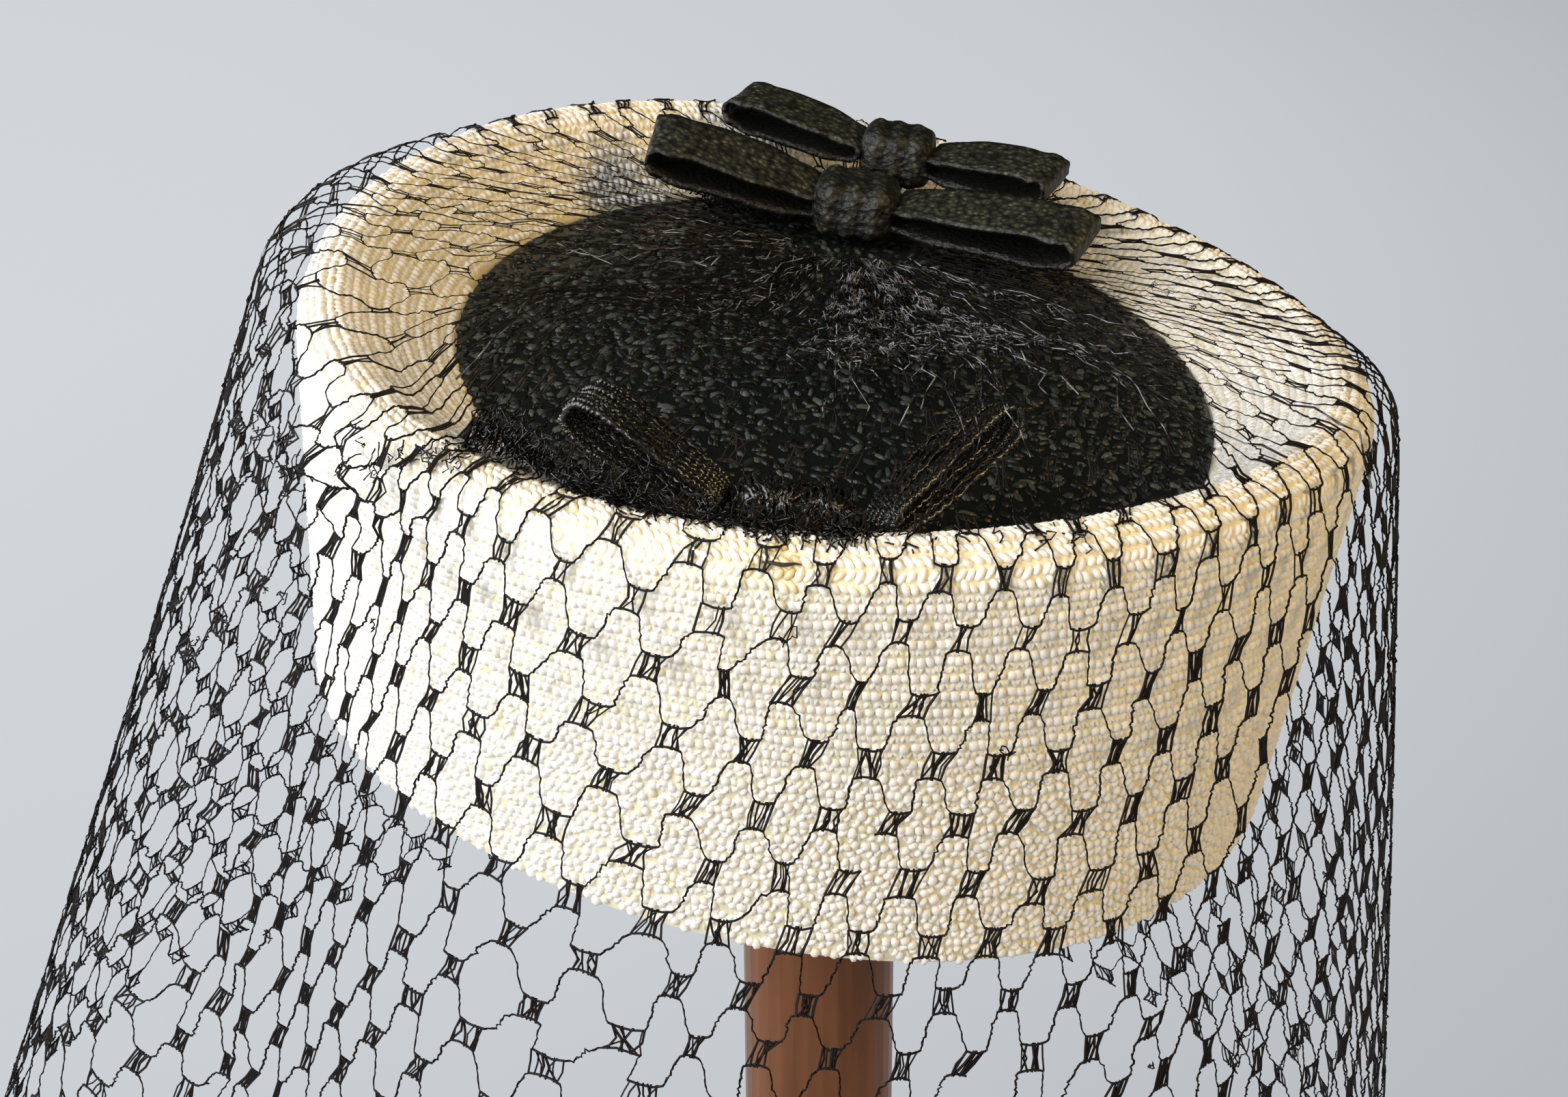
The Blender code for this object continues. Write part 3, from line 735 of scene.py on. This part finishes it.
def bow_middles():
    """Where each bow's knot is, its size and its ribbon's width and thickness."""
    over_veil = 2 * MM
    lower = crown_place(LOWER_KNOT_PLACE) + [0, 0, over_veil + LOWER_KNOT[2] / 2]
    behind = (LOWER_KNOT[1] + UPPER_KNOT[1]) / 2 + GAP - KNOT_NEST
    upper = lower + [UPPER_KNOT_SIDE, behind, LOWER_KNOT[2] / 2]
    front = crown_place(FRONT_KNOT_PLACE) + [0, 0, GAP + FRONT_KNOT[2] / 2]
    return {
        "back_bow_lower": (lower, LOWER_KNOT, BACK_RIBBON, BACK_RIBBON_THICKNESS),
        "back_bow_upper": (upper, UPPER_KNOT, BACK_RIBBON, BACK_RIBBON_THICKNESS),
        "front_bow": (front, FRONT_KNOT, FRONT_RIBBON, FRONT_RIBBON_THICKNESS),
    }


def loop_points(loop, bow, turn, side, inset):
    """Points on a bent ribbon: turn round it in radians, side from -1 to 1 across it, inset from its face.
    A roll turns a loop about its own length, its front edge downwards."""
    _, _, heading, pitch, length, height, roll = loop
    knot, size, ribbon, _ = bow
    at_back = size[0] < FRONT_KNOT[0]
    heading, pitch, roll = np.radians([heading, pitch, roll])
    level = np.array([np.cos(heading), np.sin(heading), 0])
    onward = level * np.cos(pitch) + np.array([0, 0, np.sin(pitch)])
    across = unit(np.cross(onward, [0, 0, 1]))
    up = np.cross(across, onward)
    forward = -np.sign(across[1]) * across
    forward, up = forward * np.cos(roll) - up * np.sin(roll), up * np.cos(roll) + forward * np.sin(roll)
    clear = size[0] / 2 + GAP - LOOP_TUCK + ribbon / 2 * PINCH_SHARE * abs(level[1])
    tuck = 3 * MM if at_back else 0
    root = knot + np.array([np.copysign(clear - tuck, level[0]), 0, 0])
    section = squarish(turn, 0.55)
    share = (1 - section[..., 0]) / 2
    along = inset + (length * LOOP_LENGTH + tuck - 2 * inset) * share
    rise = height * LOOP_HEIGHT / 2 * (0.72 + 0.28 * share) - inset
    half = ribbon / 2 * (PINCH_SHARE + (1 - PINCH_SHARE) * smooth(share, 0, 0.4))
    return (
        root
        + along[..., None] * onward
        + (rise * section[..., 1])[..., None] * up
        + (half * side)[..., None] * forward
    )


def ribbon_loop(loop, bow, finish, rng):
    """A loop of woven ribbon, its edges a little wavy, its lower layer and inner face given painted shade."""
    steps, columns, thickness = 72, 9, bow[3]
    turn = 2 * np.pi * np.arange(steps) / steps
    side = np.linspace(-1, 1, columns)
    grid_side, grid_turn = np.meshgrid(side, turn)
    wave = 0.25 * MM * np.sin(5 * grid_turn + 3 * grid_side) + rng.normal(0, 0.05 * MM, grid_turn.shape)
    ragged = 1 + 0.05 * np.sin(9 * grid_turn) * np.abs(grid_side)
    outer = loop_points(loop, bow, grid_turn, grid_side * ragged, 0.1 * MM + wave.clip(0, None))
    inner = loop_points(loop, bow, grid_turn, grid_side * (ragged - 0.04), 0.8 * thickness + wave)
    section = np.concatenate([outer, inner[:, ::-1]], axis=1)
    closed = np.concatenate([section, section[:1]])
    # painted shade: the tint is high on the loop's upper layer, low on its lower layer and nil on its inner
    # face, and the ribbon's material darkens it where low
    above = smooth(np.sin(np.append(turn, 0)), -0.6, 0.2)[:, None]
    tint = np.concatenate([0.15 + 0.85 * above + 0 * outer[:1, :, 0], np.zeros((steps + 1, columns))], axis=1)
    faces = grid_faces(steps + 1, 2 * columns, closed=True)
    made = make_piece(f"{loop[0]}_{loop[1]}_ribbon", closed, [faces], finish, tint)
    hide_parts(f"{loop[0]}_{loop[1]}_loop")


def cord_loop(loop, bow, finish, rng):
    """A loop of twisted cords side by side."""
    cords, steps = 7, 190
    turn = np.linspace(0, 2 * np.pi, steps)
    radius = 0.85 * MM
    paths, ups = [], []
    for cord in range(cords):
        side = 0 * turn + 2 * (cord + 0.5) / cords - 1
        path = loop_points(loop, bow, turn, side * (1 - radius / bow[2]), 0 * turn + radius)
        path += np.cumsum(rng.normal(0, 0.02 * MM, path.shape), axis=0)
        paths.append(path)
        ups.append(loop_points(loop, bow, turn, side, 0 * turn) - path)
    points, faces = tubes(np.array(paths), unit(np.array(ups)), radius, 5, 0.6, 0.95)
    made = make_piece(f"{loop[0]}_{loop[1]}_cords", points, [faces], finish)
    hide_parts(f"{loop[0]}_{loop[1]}_loop")


def squarish(turn, power):
    pair = np.stack([np.cos(turn), np.sin(turn)], axis=-1)
    return np.sign(pair) * np.abs(pair) ** power


def knot_surface(bow, along, turn, swell):
    """Points on a knot's rounded block, swell times as thick: along from -1 to 1 from side to side, turn
    round it."""
    middle, size = bow[0], bow[1]
    reach = np.maximum(0.02, 1 - np.abs(along) ** 8) ** 0.5
    section = squarish(turn, 0.5)
    offset = np.stack(
        [
            along * size[0] / 2,
            swell * reach * section[..., 0] * size[1] / 2,
            swell * reach * section[..., 1] * size[2] / 2,
        ],
        axis=-1,
    )
    return middle + offset


def ribbon_knot(name, bow, finish, rng):
    """A knot: the ribbon drawn round a bow's middle, in soft ribs, with painted shade in the troughs between
    them.
    """
    steps, sides = 40, 64
    turn = 2 * np.pi * np.arange(sides) / sides
    along, turn = np.meshgrid(np.linspace(-1, 1, steps), turn, indexing="ij")
    ribs = 0.03 * np.cos(12 * along + 0.7 * np.sin(2 * turn) + 0.5)
    crease = 0.02 * np.sin(2 * turn + 2 * along) + rng.normal(0, 0.004, turn.shape)
    points = knot_surface(bow, along, turn, 0.92 + ribs + crease).reshape(-1, 3)
    # painted shade: the tint falls in the troughs between the ribs, and the ribbon's material darkens it
    # there
    tint = 0.75 + 8 * ribs
    made = make_piece(name + "_wrap", points, [grid_faces(steps, sides, closed=True)], finish, tint)
    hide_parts(name + "_knot")


def cord_knot(name, bow, finish, rng):
    """A knot: thin twisted cords drawn round a bow's middle every way."""
    wraps, steps = 30, 20
    turn = np.linspace(0, 2 * np.pi, steps)[None]
    at = rng.uniform(-0.95, 0.95, (wraps, 1))
    slant = rng.normal(0, 0.3, (wraps, 1))
    path = knot_surface(bow, (at + slant * np.cos(turn)).clip(-0.97, 0.97), turn + 0 * at, 0.9)
    path = path + rng.normal(0, 0.15 * MM, path.shape)
    winding = tubes(path, unit(path - bow[0]), 0.7 * MM * rng.uniform(0.7, 1.2, (wraps, 1)), 5, 0.6, 0.95)
    steps, sides = 16, 24
    turn = 2 * np.pi * np.arange(sides) / sides
    along, turn = np.meshgrid(np.linspace(-1, 1, steps), turn, indexing="ij")
    core = knot_surface(bow, along, turn, 0.84).reshape(-1, 3)
    points, faces = joined([winding, (core, grid_faces(steps, sides, closed=True))])
    made = make_piece(name + "_wrap", points, [faces], finish)
    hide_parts(name + "_knot")


INSIDE_RIM = 84 * MM  # how far from the hat's axis the net is kept above the straw
NET_LIFT = 1.2 * MM  # how far above it
CROWDED = (-128, 35, 5)  # where the net's columns crowd together: heading, half width, most shift in degrees
SKEW = 0.12  # columns that the net's rows drift at each row
# The net's crumple: its heading and half width in degrees, how far up from the hem, and half its height.
RUFFLE_HEADING, RUFFLE_WIDTH, RUFFLE_UP, RUFFLE_HEIGHT = -138, 13, 207 * MM, 11 * MM
# Where strands bunch as they fan out of the gather, as shares of the way round from the front.
RIBS = (0.025, 0.1)


class Drape:
    """The veil as a grid: columns round it, and distance up from the hem along it."""

    def __init__(self, net):
        self.fine = 4  # grid columns to each column of knots
        heading = 360 * np.arange(net.columns * self.fine) / (net.columns * self.fine) - 90
        middle, half, shift = CROWDED
        crowd = np.clip(((heading - middle + 180) % 360 - 180) / half, -1, 1)
        heading = heading - shift * np.sin(np.pi * crowd)
        fall = np.linspace(2, OVER_RIM_LEVEL, 60)
        round_rim = np.linspace(OVER_RIM_LEVEL, 1, 16)[1:]
        levels = np.concatenate([fall, round_rim, np.linspace(1, 0, 90)[1:]])
        grid_heading, grid_level = np.meshgrid(heading, levels, indexing="ij")
        path = veil_path(grid_heading, grid_level)
        self.settle(path)
        lengths = np.linalg.norm(np.diff(path, axis=1), axis=-1)
        run = np.concatenate([np.zeros((len(heading), 1)), np.cumsum(lengths, axis=1)], axis=1)
        self.length = run[:, -1]
        self.step = 1.5 * MM
        self.marks = np.arange(0, self.length.max() + self.step, self.step)
        self.points = np.empty((len(heading), len(self.marks), 3))
        for index in range(len(heading)):
            for axis in range(3):
                self.points[index, :, axis] = np.interp(self.marks, run[index], path[index, :, axis])
        wrapped = np.concatenate([self.points[-1:], self.points, self.points[:1]])
        across = (wrapped[2:] - wrapped[:-2]) / 2
        along = np.gradient(self.points, axis=1)
        self.normals = unit(np.cross(across, along))
        ruffled = np.exp(-((apart(heading, RUFFLE_HEADING) / RUFFLE_WIDTH) ** 2))[:, None]
        ruffled = ruffled * np.exp(-(((self.marks - RUFFLE_UP) / RUFFLE_HEIGHT) ** 2))[None]
        heading = heading[:, None]
        wave = np.sin(heading * 0.9 + 600 * self.marks) + np.sin(900 * self.marks - 0.35 * heading)
        self.points = self.points + self.normals * (ruffled * (2.4 + 1.6 * wave) * MM)[..., None]

    def settle(self, path):
        """Keeps the net above the crown and the inner slope."""
        inside = np.hypot(path[..., 0], path[..., 1]) < INSIDE_RIM
        floor = crown_height(path[..., 0], path[..., 1]) + NET_LIFT
        path[..., 2] = np.where(inside, np.maximum(path[..., 2], floor), path[..., 2])

    def read(self, grid, column, along):
        x = (column * self.fine) % len(self.points)
        y = np.clip(along / self.step, 0, len(self.marks) - 1.001)
        x0, y0 = np.floor(x).astype(int) % len(self.points), np.floor(y).astype(int)
        x1 = (x0 + 1) % len(self.points)
        fx, fy = (x - np.floor(x))[..., None], (y - y0)[..., None]
        low = grid[x0, y0] * (1 - fx) + grid[x1, y0] * fx
        high = grid[x0, y0 + 1] * (1 - fx) + grid[x1, y0 + 1] * fx
        return low * (1 - fy) + high * fy

    def reach(self, column):
        return self.length[np.round(column * self.fine).astype(int) % len(self.points)]

    def thread(self, column, along, radius, sides, flat, twist, rng, shake=0.0):
        """Tubes along the net. They are finer inside the rim, where the net is drawn tight."""
        paths = self.read(self.points, column, along)
        radius = radius * (1 - 0.5 * smooth(along, VEIL_DROP + 8 * MM, VEIL_DROP + 35 * MM))
        if shake:
            paths[:, 1:-1] += rng.normal(0, shake, paths[:, 1:-1].shape)
        return tubes(paths, self.read(self.normals, column, along), radius, sides, flat, twist)

    def strands(self, column, along, radius, rng, shake):
        """Loose twisted strands that lie along the net."""
        return self.thread(column, along, radius, 3, 0.8, 0.9, rng, shake)


def wander(spread, shape, rng):
    """Random drift along each row of steps."""
    return np.cumsum(rng.normal(0, spread, shape), axis=1)


def gathers(drape, net, rng):
    """Strands that fan out of the gather, painted with grey glints by their material, most of them in two
    ribs, with small tangles along them.
    """
    count, steps = 125, 28
    rib = rng.random(count)
    column = np.where(rib < 0.45, rng.normal(RIBS[0], 0.012, count), rng.normal(RIBS[1], 0.018, count))
    column = np.where(rib < 0.8, column, rng.uniform(-0.3, 0.24, count)) * net.columns
    run = rng.uniform(30, 120, count) * MM
    share = np.linspace(0, 1, steps)[None]
    across = column[:, None] + wander(0.18, (count, steps), rng)
    along = drape.reach(column)[:, None] + 12 * MM - (run[:, None] + 12 * MM) * share
    fan = drape.strands(across, along, 1.1 * net.thread, rng, 0.5 * MM)
    tangles, count, steps = 26, 156, 6
    middle = (rng.choice(RIBS, tangles) + rng.normal(0, 0.011, tangles)) * net.columns
    from_gather = rng.uniform(4, 85, tangles) * MM
    tangle = np.arange(count) % tangles
    column = middle[tangle][:, None] + rng.normal(0, 0.2, (count, 1))
    along = (drape.reach(middle) - from_gather)[tangle][:, None]
    along = along + rng.uniform(-3.5, 3.5, (count, 1)) * MM * np.linspace(-1, 1, steps)[None]
    column = column + wander(0.12, (count, steps), rng)
    return joined([fan, drape.strands(column, along, 1.1 * net.thread, rng, 0.3 * MM)])


def bunches(drape, net, rng):
    """Short strands bunched behind the front lip, in the crumple at the front's left and between the back
    bows."""
    count, steps = 300, 7
    most = rng.random(count) < 0.93
    column = np.where(most, rng.uniform(-0.1, 0.03, count), rng.uniform(0.03, 0.11, count))
    inside = VEIL_DROP + 10 * MM + np.abs(rng.normal(0, 1.8, count)) * MM
    share = np.linspace(-1, 1, steps)[None]
    along = inside[:, None] + rng.uniform(0.5, 4.5, (count, 1)) * MM * share
    column = column[:, None] * net.columns + wander(0.11, (count, steps), rng)
    parts = [drape.strands(column, along, 0.75 * net.thread, rng, 0.5 * MM)]
    count = 50
    place = rng.random(count)
    column = ((-160 + 40 * place + 90) % 360 / 360 * net.columns)[:, None]
    middle = (199 + 20 * place + rng.normal(0, 2.2, count)) * MM
    column = column + wander(0.07, (count, steps), rng)
    along = middle[:, None] + rng.uniform(-3, 3, (count, 1)) * MM * share
    parts.append(drape.strands(column, along, 0.65 * net.thread, rng, 0.3 * MM))
    count = 340
    start = crown_place(LOWER_KNOT_PLACE) + MM * np.stack(
        [rng.uniform(-31, 14, count), rng.uniform(3, 18, count), np.zeros(count)], axis=-1
    )
    ahead = unit(rng.normal(0, 1, (count, 1, 3)) * [1, 1, 0])
    half = rng.uniform(2, 6, (count, 1, 1))
    paths = start[:, None] + ahead * np.linspace(-1, 1, steps)[None, :, None] * half * MM
    paths[..., :2] += wander(0.5 * MM, (count, steps, 2), rng)
    rise = rng.uniform(1, 7, (count, 1)) + rng.normal(0, 0.4, (count, steps))
    paths[..., 2] = crown_height(paths[..., 0], paths[..., 1]) + rise * MM
    parts.append(tubes(paths, np.array([0, 0, 1.0]), 0.8 * net.thread, 3, 0.8, 0.9))
    return joined(parts)


def strays(drape, net, rng):
    """Short broken ends that curl away from the net."""
    count, steps = 70, 14
    column = rng.uniform(0, net.columns, (count, 1))
    along = rng.uniform(20, 260, (count, 1)) * MM
    turn = np.linspace(0, 1, steps)[None] * rng.uniform(3, 8, (count, 1))
    size = rng.uniform(0.05, 0.16, (count, 1))
    curl = column + size * (np.cos(turn) + 0.3 * turn), along + 10 * MM * size * (np.sin(turn) + 0.4 * turn)
    return drape.thread(*curl, 0.55 * net.thread, 3, 1, 0, rng, 0.3 * MM)


def net_links(drape, net, ends, there, picked, detail, rng):
    """Twisted threads from each knot's upper corners to the next row's knots."""
    left_top, right_top, left_low, right_low = ends
    next_up = np.roll(there, -1, axis=0) & there & picked
    next_up[-1] = False
    parts = []
    for side, steps, thick, shake in ((1, 13, 1.0, 0.14 * MM), (-1, 8, 0.75, 0.09 * MM)):
        row, column = np.nonzero(next_up)
        whole = rng.random(len(row)) > 0.012
        row, column = row[whole], column[whole]
        shift = np.where(row % 2, 1, 0) if side > 0 else np.where(row % 2, 0, -1)
        partner = (column + shift) % net.columns
        start, end = (right_top, left_low) if side > 0 else (left_top, right_low)
        c0, s0 = start[0][row, column], start[1][row, column]
        c1, s1 = end[0][row + 1, partner], end[1][row + 1, partner]
        c1 = c0 + (c1 - c0 + net.columns / 2) % net.columns - net.columns / 2
        t = np.linspace(0, 1, int(steps * detail))[None]
        bend = 0.09 + rng.normal(0, 0.03, (len(row), 1))
        c = c0[:, None] + (c1 - c0)[:, None] * (t + bend * np.sin(2 * np.pi * t))
        s = s0[:, None] + (s1 - s0)[:, None] * t
        parts.append(drape.thread(c, s, net.thread * thick, 3, 0.75, 1.25, rng, shake))
    return parts


def net_knots(drape, net, middle, height, wide, tall, lean, ends, picked, strands, rng):
    """Knots: a curved thread above and below, and strands bundled between them."""
    left_top, right_top, left_low, right_low = ends
    share = np.linspace(0, 1, 4)[None]
    parts = []
    for first, last, sag in ((left_top, right_top, -0.45 * MM), (left_low, right_low, 0.45 * MM)):
        c0, c1 = first[0][picked][:, None], last[0][picked][:, None]
        s0, s1 = first[1][picked][:, None], last[1][picked][:, None]
        along = s0 + (s1 - s0) * share + sag * np.sin(np.pi * share)
        parts.append(drape.thread(c0 + (c1 - c0) * share, along, 0.85 * net.thread, 3, 1, 0, rng, 0.05 * MM))
    count = int(picked.sum())
    steps = np.linspace(1, -1, 3)
    for strand in range(strands):
        place = 2 * (strand + 0.5) / strands - 1
        top = place + rng.normal(0, 0.3, count)
        low_end = place + rng.normal(0, 0.3, count)
        between = (top + low_end) / 2 * 0.85 + rng.normal(0, 0.25, count)
        across = np.stack([top, between, low_end], axis=1).clip(-1.05, 1.05)
        column = middle[picked][:, None] + across * wide[picked][:, None] + steps * lean[picked][:, None]
        along = height[picked][:, None] + steps * tall[picked][:, None]
        thick = net.thread * rng.uniform(0.55, 1.0, (count, 1))
        parts.append(drape.thread(column, along, thick, 3, 1, 0, rng))
    return parts


def make_veil(net, finish):
    """The net: rectangles of bundled strands, joined at their corners by twisted threads."""
    rng = np.random.default_rng(23)
    drape = Drape(net)
    rows = int(drape.length.max() / net.row)
    half_w, half_h = net.knot_width / 2, net.knot_height / 2
    index = np.arange(net.columns)
    middle = np.array([[i + 0.5 * (row % 2) + SKEW * row for i in index] for row in range(rows + 1)])
    height = np.array([[net.row * (row + 0.4)] * net.columns for row in range(rows + 1)])
    middle = middle + rng.normal(0, 0.045, middle.shape)
    height = height + rng.normal(0, 0.5 * MM, height.shape)
    crumple = np.exp(-((apart(middle * 360 / net.columns - 90, RUFFLE_HEADING) / RUFFLE_WIDTH) ** 2))
    above = (height - RUFFLE_UP) / RUFFLE_HEIGHT
    nearby = np.exp(-(((height - RUFFLE_UP) / (4 * RUFFLE_HEIGHT)) ** 2))
    height = height - crumple * 8 * MM * np.tanh(above) * nearby
    middle = middle + crumple * rng.normal(0, 0.12, middle.shape)
    wide = half_w * rng.uniform(0.75, 1.2, middle.shape) * np.where(rng.random(middle.shape) < 0.025, 0.5, 1)
    tall = half_h * rng.uniform(0.85, 1.15, middle.shape)
    lean = 0.05 + rng.normal(0, 0.04, middle.shape)
    there = height + half_h < drape.reach(middle) - 1 * MM

    def corner(across, up):
        return middle + across * wide + up * lean, height + up * tall

    ends = corner(-1, 1), corner(1, 1), corner(-1, -1), corner(1, -1)
    for name, low, high, strands, detail in (
        ("veil_hem", 0, 8, 7, 1),
        ("veil_fall", 8, 20, 8, 1),
        ("veil_top", 20, rows, 4, 0.75),
    ):
        picked = np.zeros_like(there)
        picked[low:high] = there[low:high]
        parts = net_knots(drape, net, middle, height, wide, tall, lean, ends, picked, strands, rng)
        parts += net_links(drape, net, ends, there, picked, detail, rng)
        if name == "veil_fall":
            parts.append(strays(drape, net, rng))
        points, faces = joined(parts)
        made = make_piece(name, points, [faces], finish)
    for name, strands, material in (
        # the gathers' grey is painted glints
        ("veil_gathers", gathers, bunched_thread("net strands with painted glints", (0.3, 0.31, 0.33))),
        ("veil_bunches", bunches, bunched_thread("glossy net strands", (0.016, 0.016, 0.017))),
    ):
        points, faces = strands(drape, net, rng)
        make_piece(name, points, [faces], material)
    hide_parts("net_veil")


def repaint(finish, *nodes):
    for node in nodes:
        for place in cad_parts[node].material_slots:
            place.material = finish


class HAT_OT_cuff(bpy.types.Operator):
    """Sews the cream braid of the cuff"""

    bl_idname = "hat.cuff"
    bl_label = "Straw cuff"

    def execute(self, context):
        make_cuff(context.scene.hat_braid, cream_straw(context.scene.hat_colours))
        return {"FINISHED"}


class HAT_OT_crown(bpy.types.Operator):
    """Sews the black crown"""

    bl_idname = "hat.crown"
    bl_label = "Straw crown"

    def execute(self, context):
        make_crown(context.scene.hat_braid, black_straw())
        return {"FINISHED"}


class HAT_OT_bows(bpy.types.Operator):
    """Ties the two ribbon bows at the back and the cord bow at the front"""

    bl_idname = "hat.bows"
    bl_label = "Bows"

    def execute(self, context):
        rng = np.random.default_rng(5)
        ribbon, cord = black_ribbon(), black_cord()
        bows = bow_middles()
        for loop in LOOPS:
            if loop[0] == "front_bow":
                cord_loop(loop, bows[loop[0]], cord, rng)
            else:
                ribbon_loop(loop, bows[loop[0]], ribbon, rng)
        for name, bow in bows.items():
            if name == "front_bow":
                cord_knot(name, bow, cord, rng)
            else:
                ribbon_knot(name, bow, ribbon, rng)
        return {"FINISHED"}


class HAT_OT_veil(bpy.types.Operator):
    """Hangs the net veil"""

    bl_idname = "hat.veil"
    bl_label = "Net veil"

    def execute(self, context):
        make_veil(context.scene.hat_net, net_thread(context.scene.hat_colours))
        return {"FINISHED"}


class HAT_OT_stand(bpy.types.Operator):
    """Gives the stand its satin finish"""

    bl_idname = "hat.stand"
    bl_label = "Stand"

    def execute(self, context):
        repaint(satin_post(context.scene.hat_colours), "stand_post", "stand_foot", "stand_cap")
        return {"FINISHED"}


LIGHTS = (
    # name, place, size, power, colour
    ("key", (-1.12, -1.31, 1.06), 1.8, 46, (1.0, 0.99, 1.0)),
    ("side", (-1.9, 0.3, 0.8), 0.9, 22, (1.0, 1.0, 1.0)),
    ("warm fill", (1.4, -0.55, 1.25), 0.9, 17, (1.0, 0.7, 0.3)),
    ("top", (-0.7, -0.5, 1.5), 1.0, 5.5, (1.0, 1.0, 1.0)),
)
FLOOR_GLOW = (
    # how far from its middle, as a share of FLOOR_FADE, and the painted glow there
    (0.1, (0.59, 0.62, 0.655)),
    (0.27, (0.54, 0.57, 0.605)),
    (0.38, (0.43, 0.455, 0.485)),
    (0.6, (0.38, 0.39, 0.405)),
    (1.0, (0.33, 0.34, 0.35)),
)
FLOOR_FADE = 2.5
FLOOR_MIDDLE = (-0.6, 0.7)
FLOOR_HALF = 6
LENS, SENSOR = 72.1, 36  # mm
SHIFT = (-0.0222, -0.0329)


def area_light(name, place, target, size, power, colour):
    lamp = bpy.data.lights.new(name, "AREA")
    lamp.shape, lamp.size, lamp.energy, lamp.color = "DISK", size, power, colour
    made = bpy.data.objects.new(name, lamp)
    made.location = place
    made.rotation_euler = (Vector(target) - Vector(place)).to_track_quat("-Z", "Y").to_euler()
    bpy.context.scene.collection.objects.link(made)


def make_floor():
    """A pale floor that glows though it is no lamp: a painted pool of light that fades away from its middle.
    """
    recipe = Recipe("pale floor", 0.9, Specular_IOR_Level=0.0, Emission_Strength=1.0)
    recipe.shader.inputs["Base Color"].default_value = (0.06, 0.063, 0.067, 1)
    to_middle = (-FLOOR_MIDDLE[0], -FLOOR_MIDDLE[1], 0.0)
    shifted = recipe.add("VectorMath", {0: recipe.place(), 1: to_middle}, operation="ADD").outputs["Vector"]
    spread = recipe.add("VectorMath", {0: shifted}, operation="LENGTH").outputs["Value"]
    far = recipe.math("MULTIPLY", spread, 1 / FLOOR_FADE)
    recipe.link(recipe.ramp(far, *FLOOR_GLOW), "Emission Color")
    half = FLOOR_HALF
    corners = [(-half, -half, 0), (half, -half, 0), (half, half, 0), (-half, half, 0)]
    mesh = bpy.data.meshes.new("floor")
    mesh.from_pydata(corners, [], [(0, 1, 2, 3)])
    mesh.materials.append(recipe.material)
    floor = bpy.data.objects.new("floor", mesh)
    bpy.context.scene.collection.objects.link(floor)


def make_studio(scene):
    """A dim world round the lights."""
    world = bpy.data.worlds.new("studio")
    world.use_nodes = True
    background = world.node_tree.nodes["Background"]
    background.inputs["Color"].default_value = (1.0, 0.97, 0.92, 1)
    background.inputs["Strength"].default_value = 0.04
    scene.world = world
    scene.view_settings.view_transform = "Standard"


def place_camera(scene, middle):
    heading, rise = np.radians(CAMERA_HEADING), np.radians(CAMERA_RISE)
    back = Vector((np.sin(heading) * np.cos(rise), -np.cos(heading) * np.cos(rise), np.sin(rise)))
    lens = bpy.data.cameras.new("camera")
    lens.lens, lens.sensor_width, lens.sensor_fit = LENS, SENSOR, "HORIZONTAL"
    lens.shift_x, lens.shift_y = SHIFT
    lens.clip_start = 0.02
    camera = bpy.data.objects.new("camera", lens)
    camera.location = Vector(middle) + back * CAMERA_DISTANCE
    camera.rotation_euler = (-back).to_track_quat("-Z", "Y").to_euler()
    scene.collection.objects.link(camera)
    scene.camera = camera


class HAT_OT_stage(bpy.types.Operator):
    """Sets the floor, lights and camera"""

    bl_idname = "hat.stage"
    bl_label = "Stage"

    def execute(self, context):
        make_floor()
        make_studio(context.scene)
        middle = (0, 0, HAT_LIFT + HAT_HEIGHT / 2)
        for name, place, size, power, colour in LIGHTS:
            area_light(name, place, middle, size, power, colour)
        place_camera(context.scene, middle)
        return {"FINISHED"}


class HAT_PT_panel(bpy.types.Panel):
    """Lists the hat's pieces and sizes"""

    bl_label = "Pillbox hat"
    bl_idname = "HAT_PT_panel"
    bl_space_type = "VIEW_3D"
    bl_region_type = "UI"
    bl_category = "Hat"

    def draw(self, context):
        for group in (context.scene.hat_braid, context.scene.hat_net, context.scene.hat_colours):
            box = self.layout.box()
            for name in group.bl_rna.properties.keys():
                if name not in ("rna_type", "name"):
                    box.prop(group, name)
        for operator in OPERATORS:
            self.layout.operator(operator.bl_idname)


GROUPS = {"hat_braid": HatBraid, "hat_net": HatNet, "hat_colours": HatColours}
OPERATORS = (HAT_OT_stage, HAT_OT_cuff, HAT_OT_crown, HAT_OT_bows, HAT_OT_veil, HAT_OT_stand)


def register():
    for made in (*GROUPS.values(), *OPERATORS, HAT_PT_panel):
        bpy.utils.register_class(made)
    for name, group in GROUPS.items():
        setattr(bpy.types.Scene, name, bpy.props.PointerProperty(type=group))


def unregister():
    for name in GROUPS:
        delattr(bpy.types.Scene, name)
    for made in reversed((*GROUPS.values(), *OPERATORS, HAT_PT_panel)):
        bpy.utils.unregister_class(made)


def main():
    register()
    bpy.ops.hat.stage()
    bpy.ops.hat.cuff()
    bpy.ops.hat.crown()
    bpy.ops.hat.bows()
    bpy.ops.hat.veil()
    bpy.ops.hat.stand()


if __name__ == "__main__":
    main()
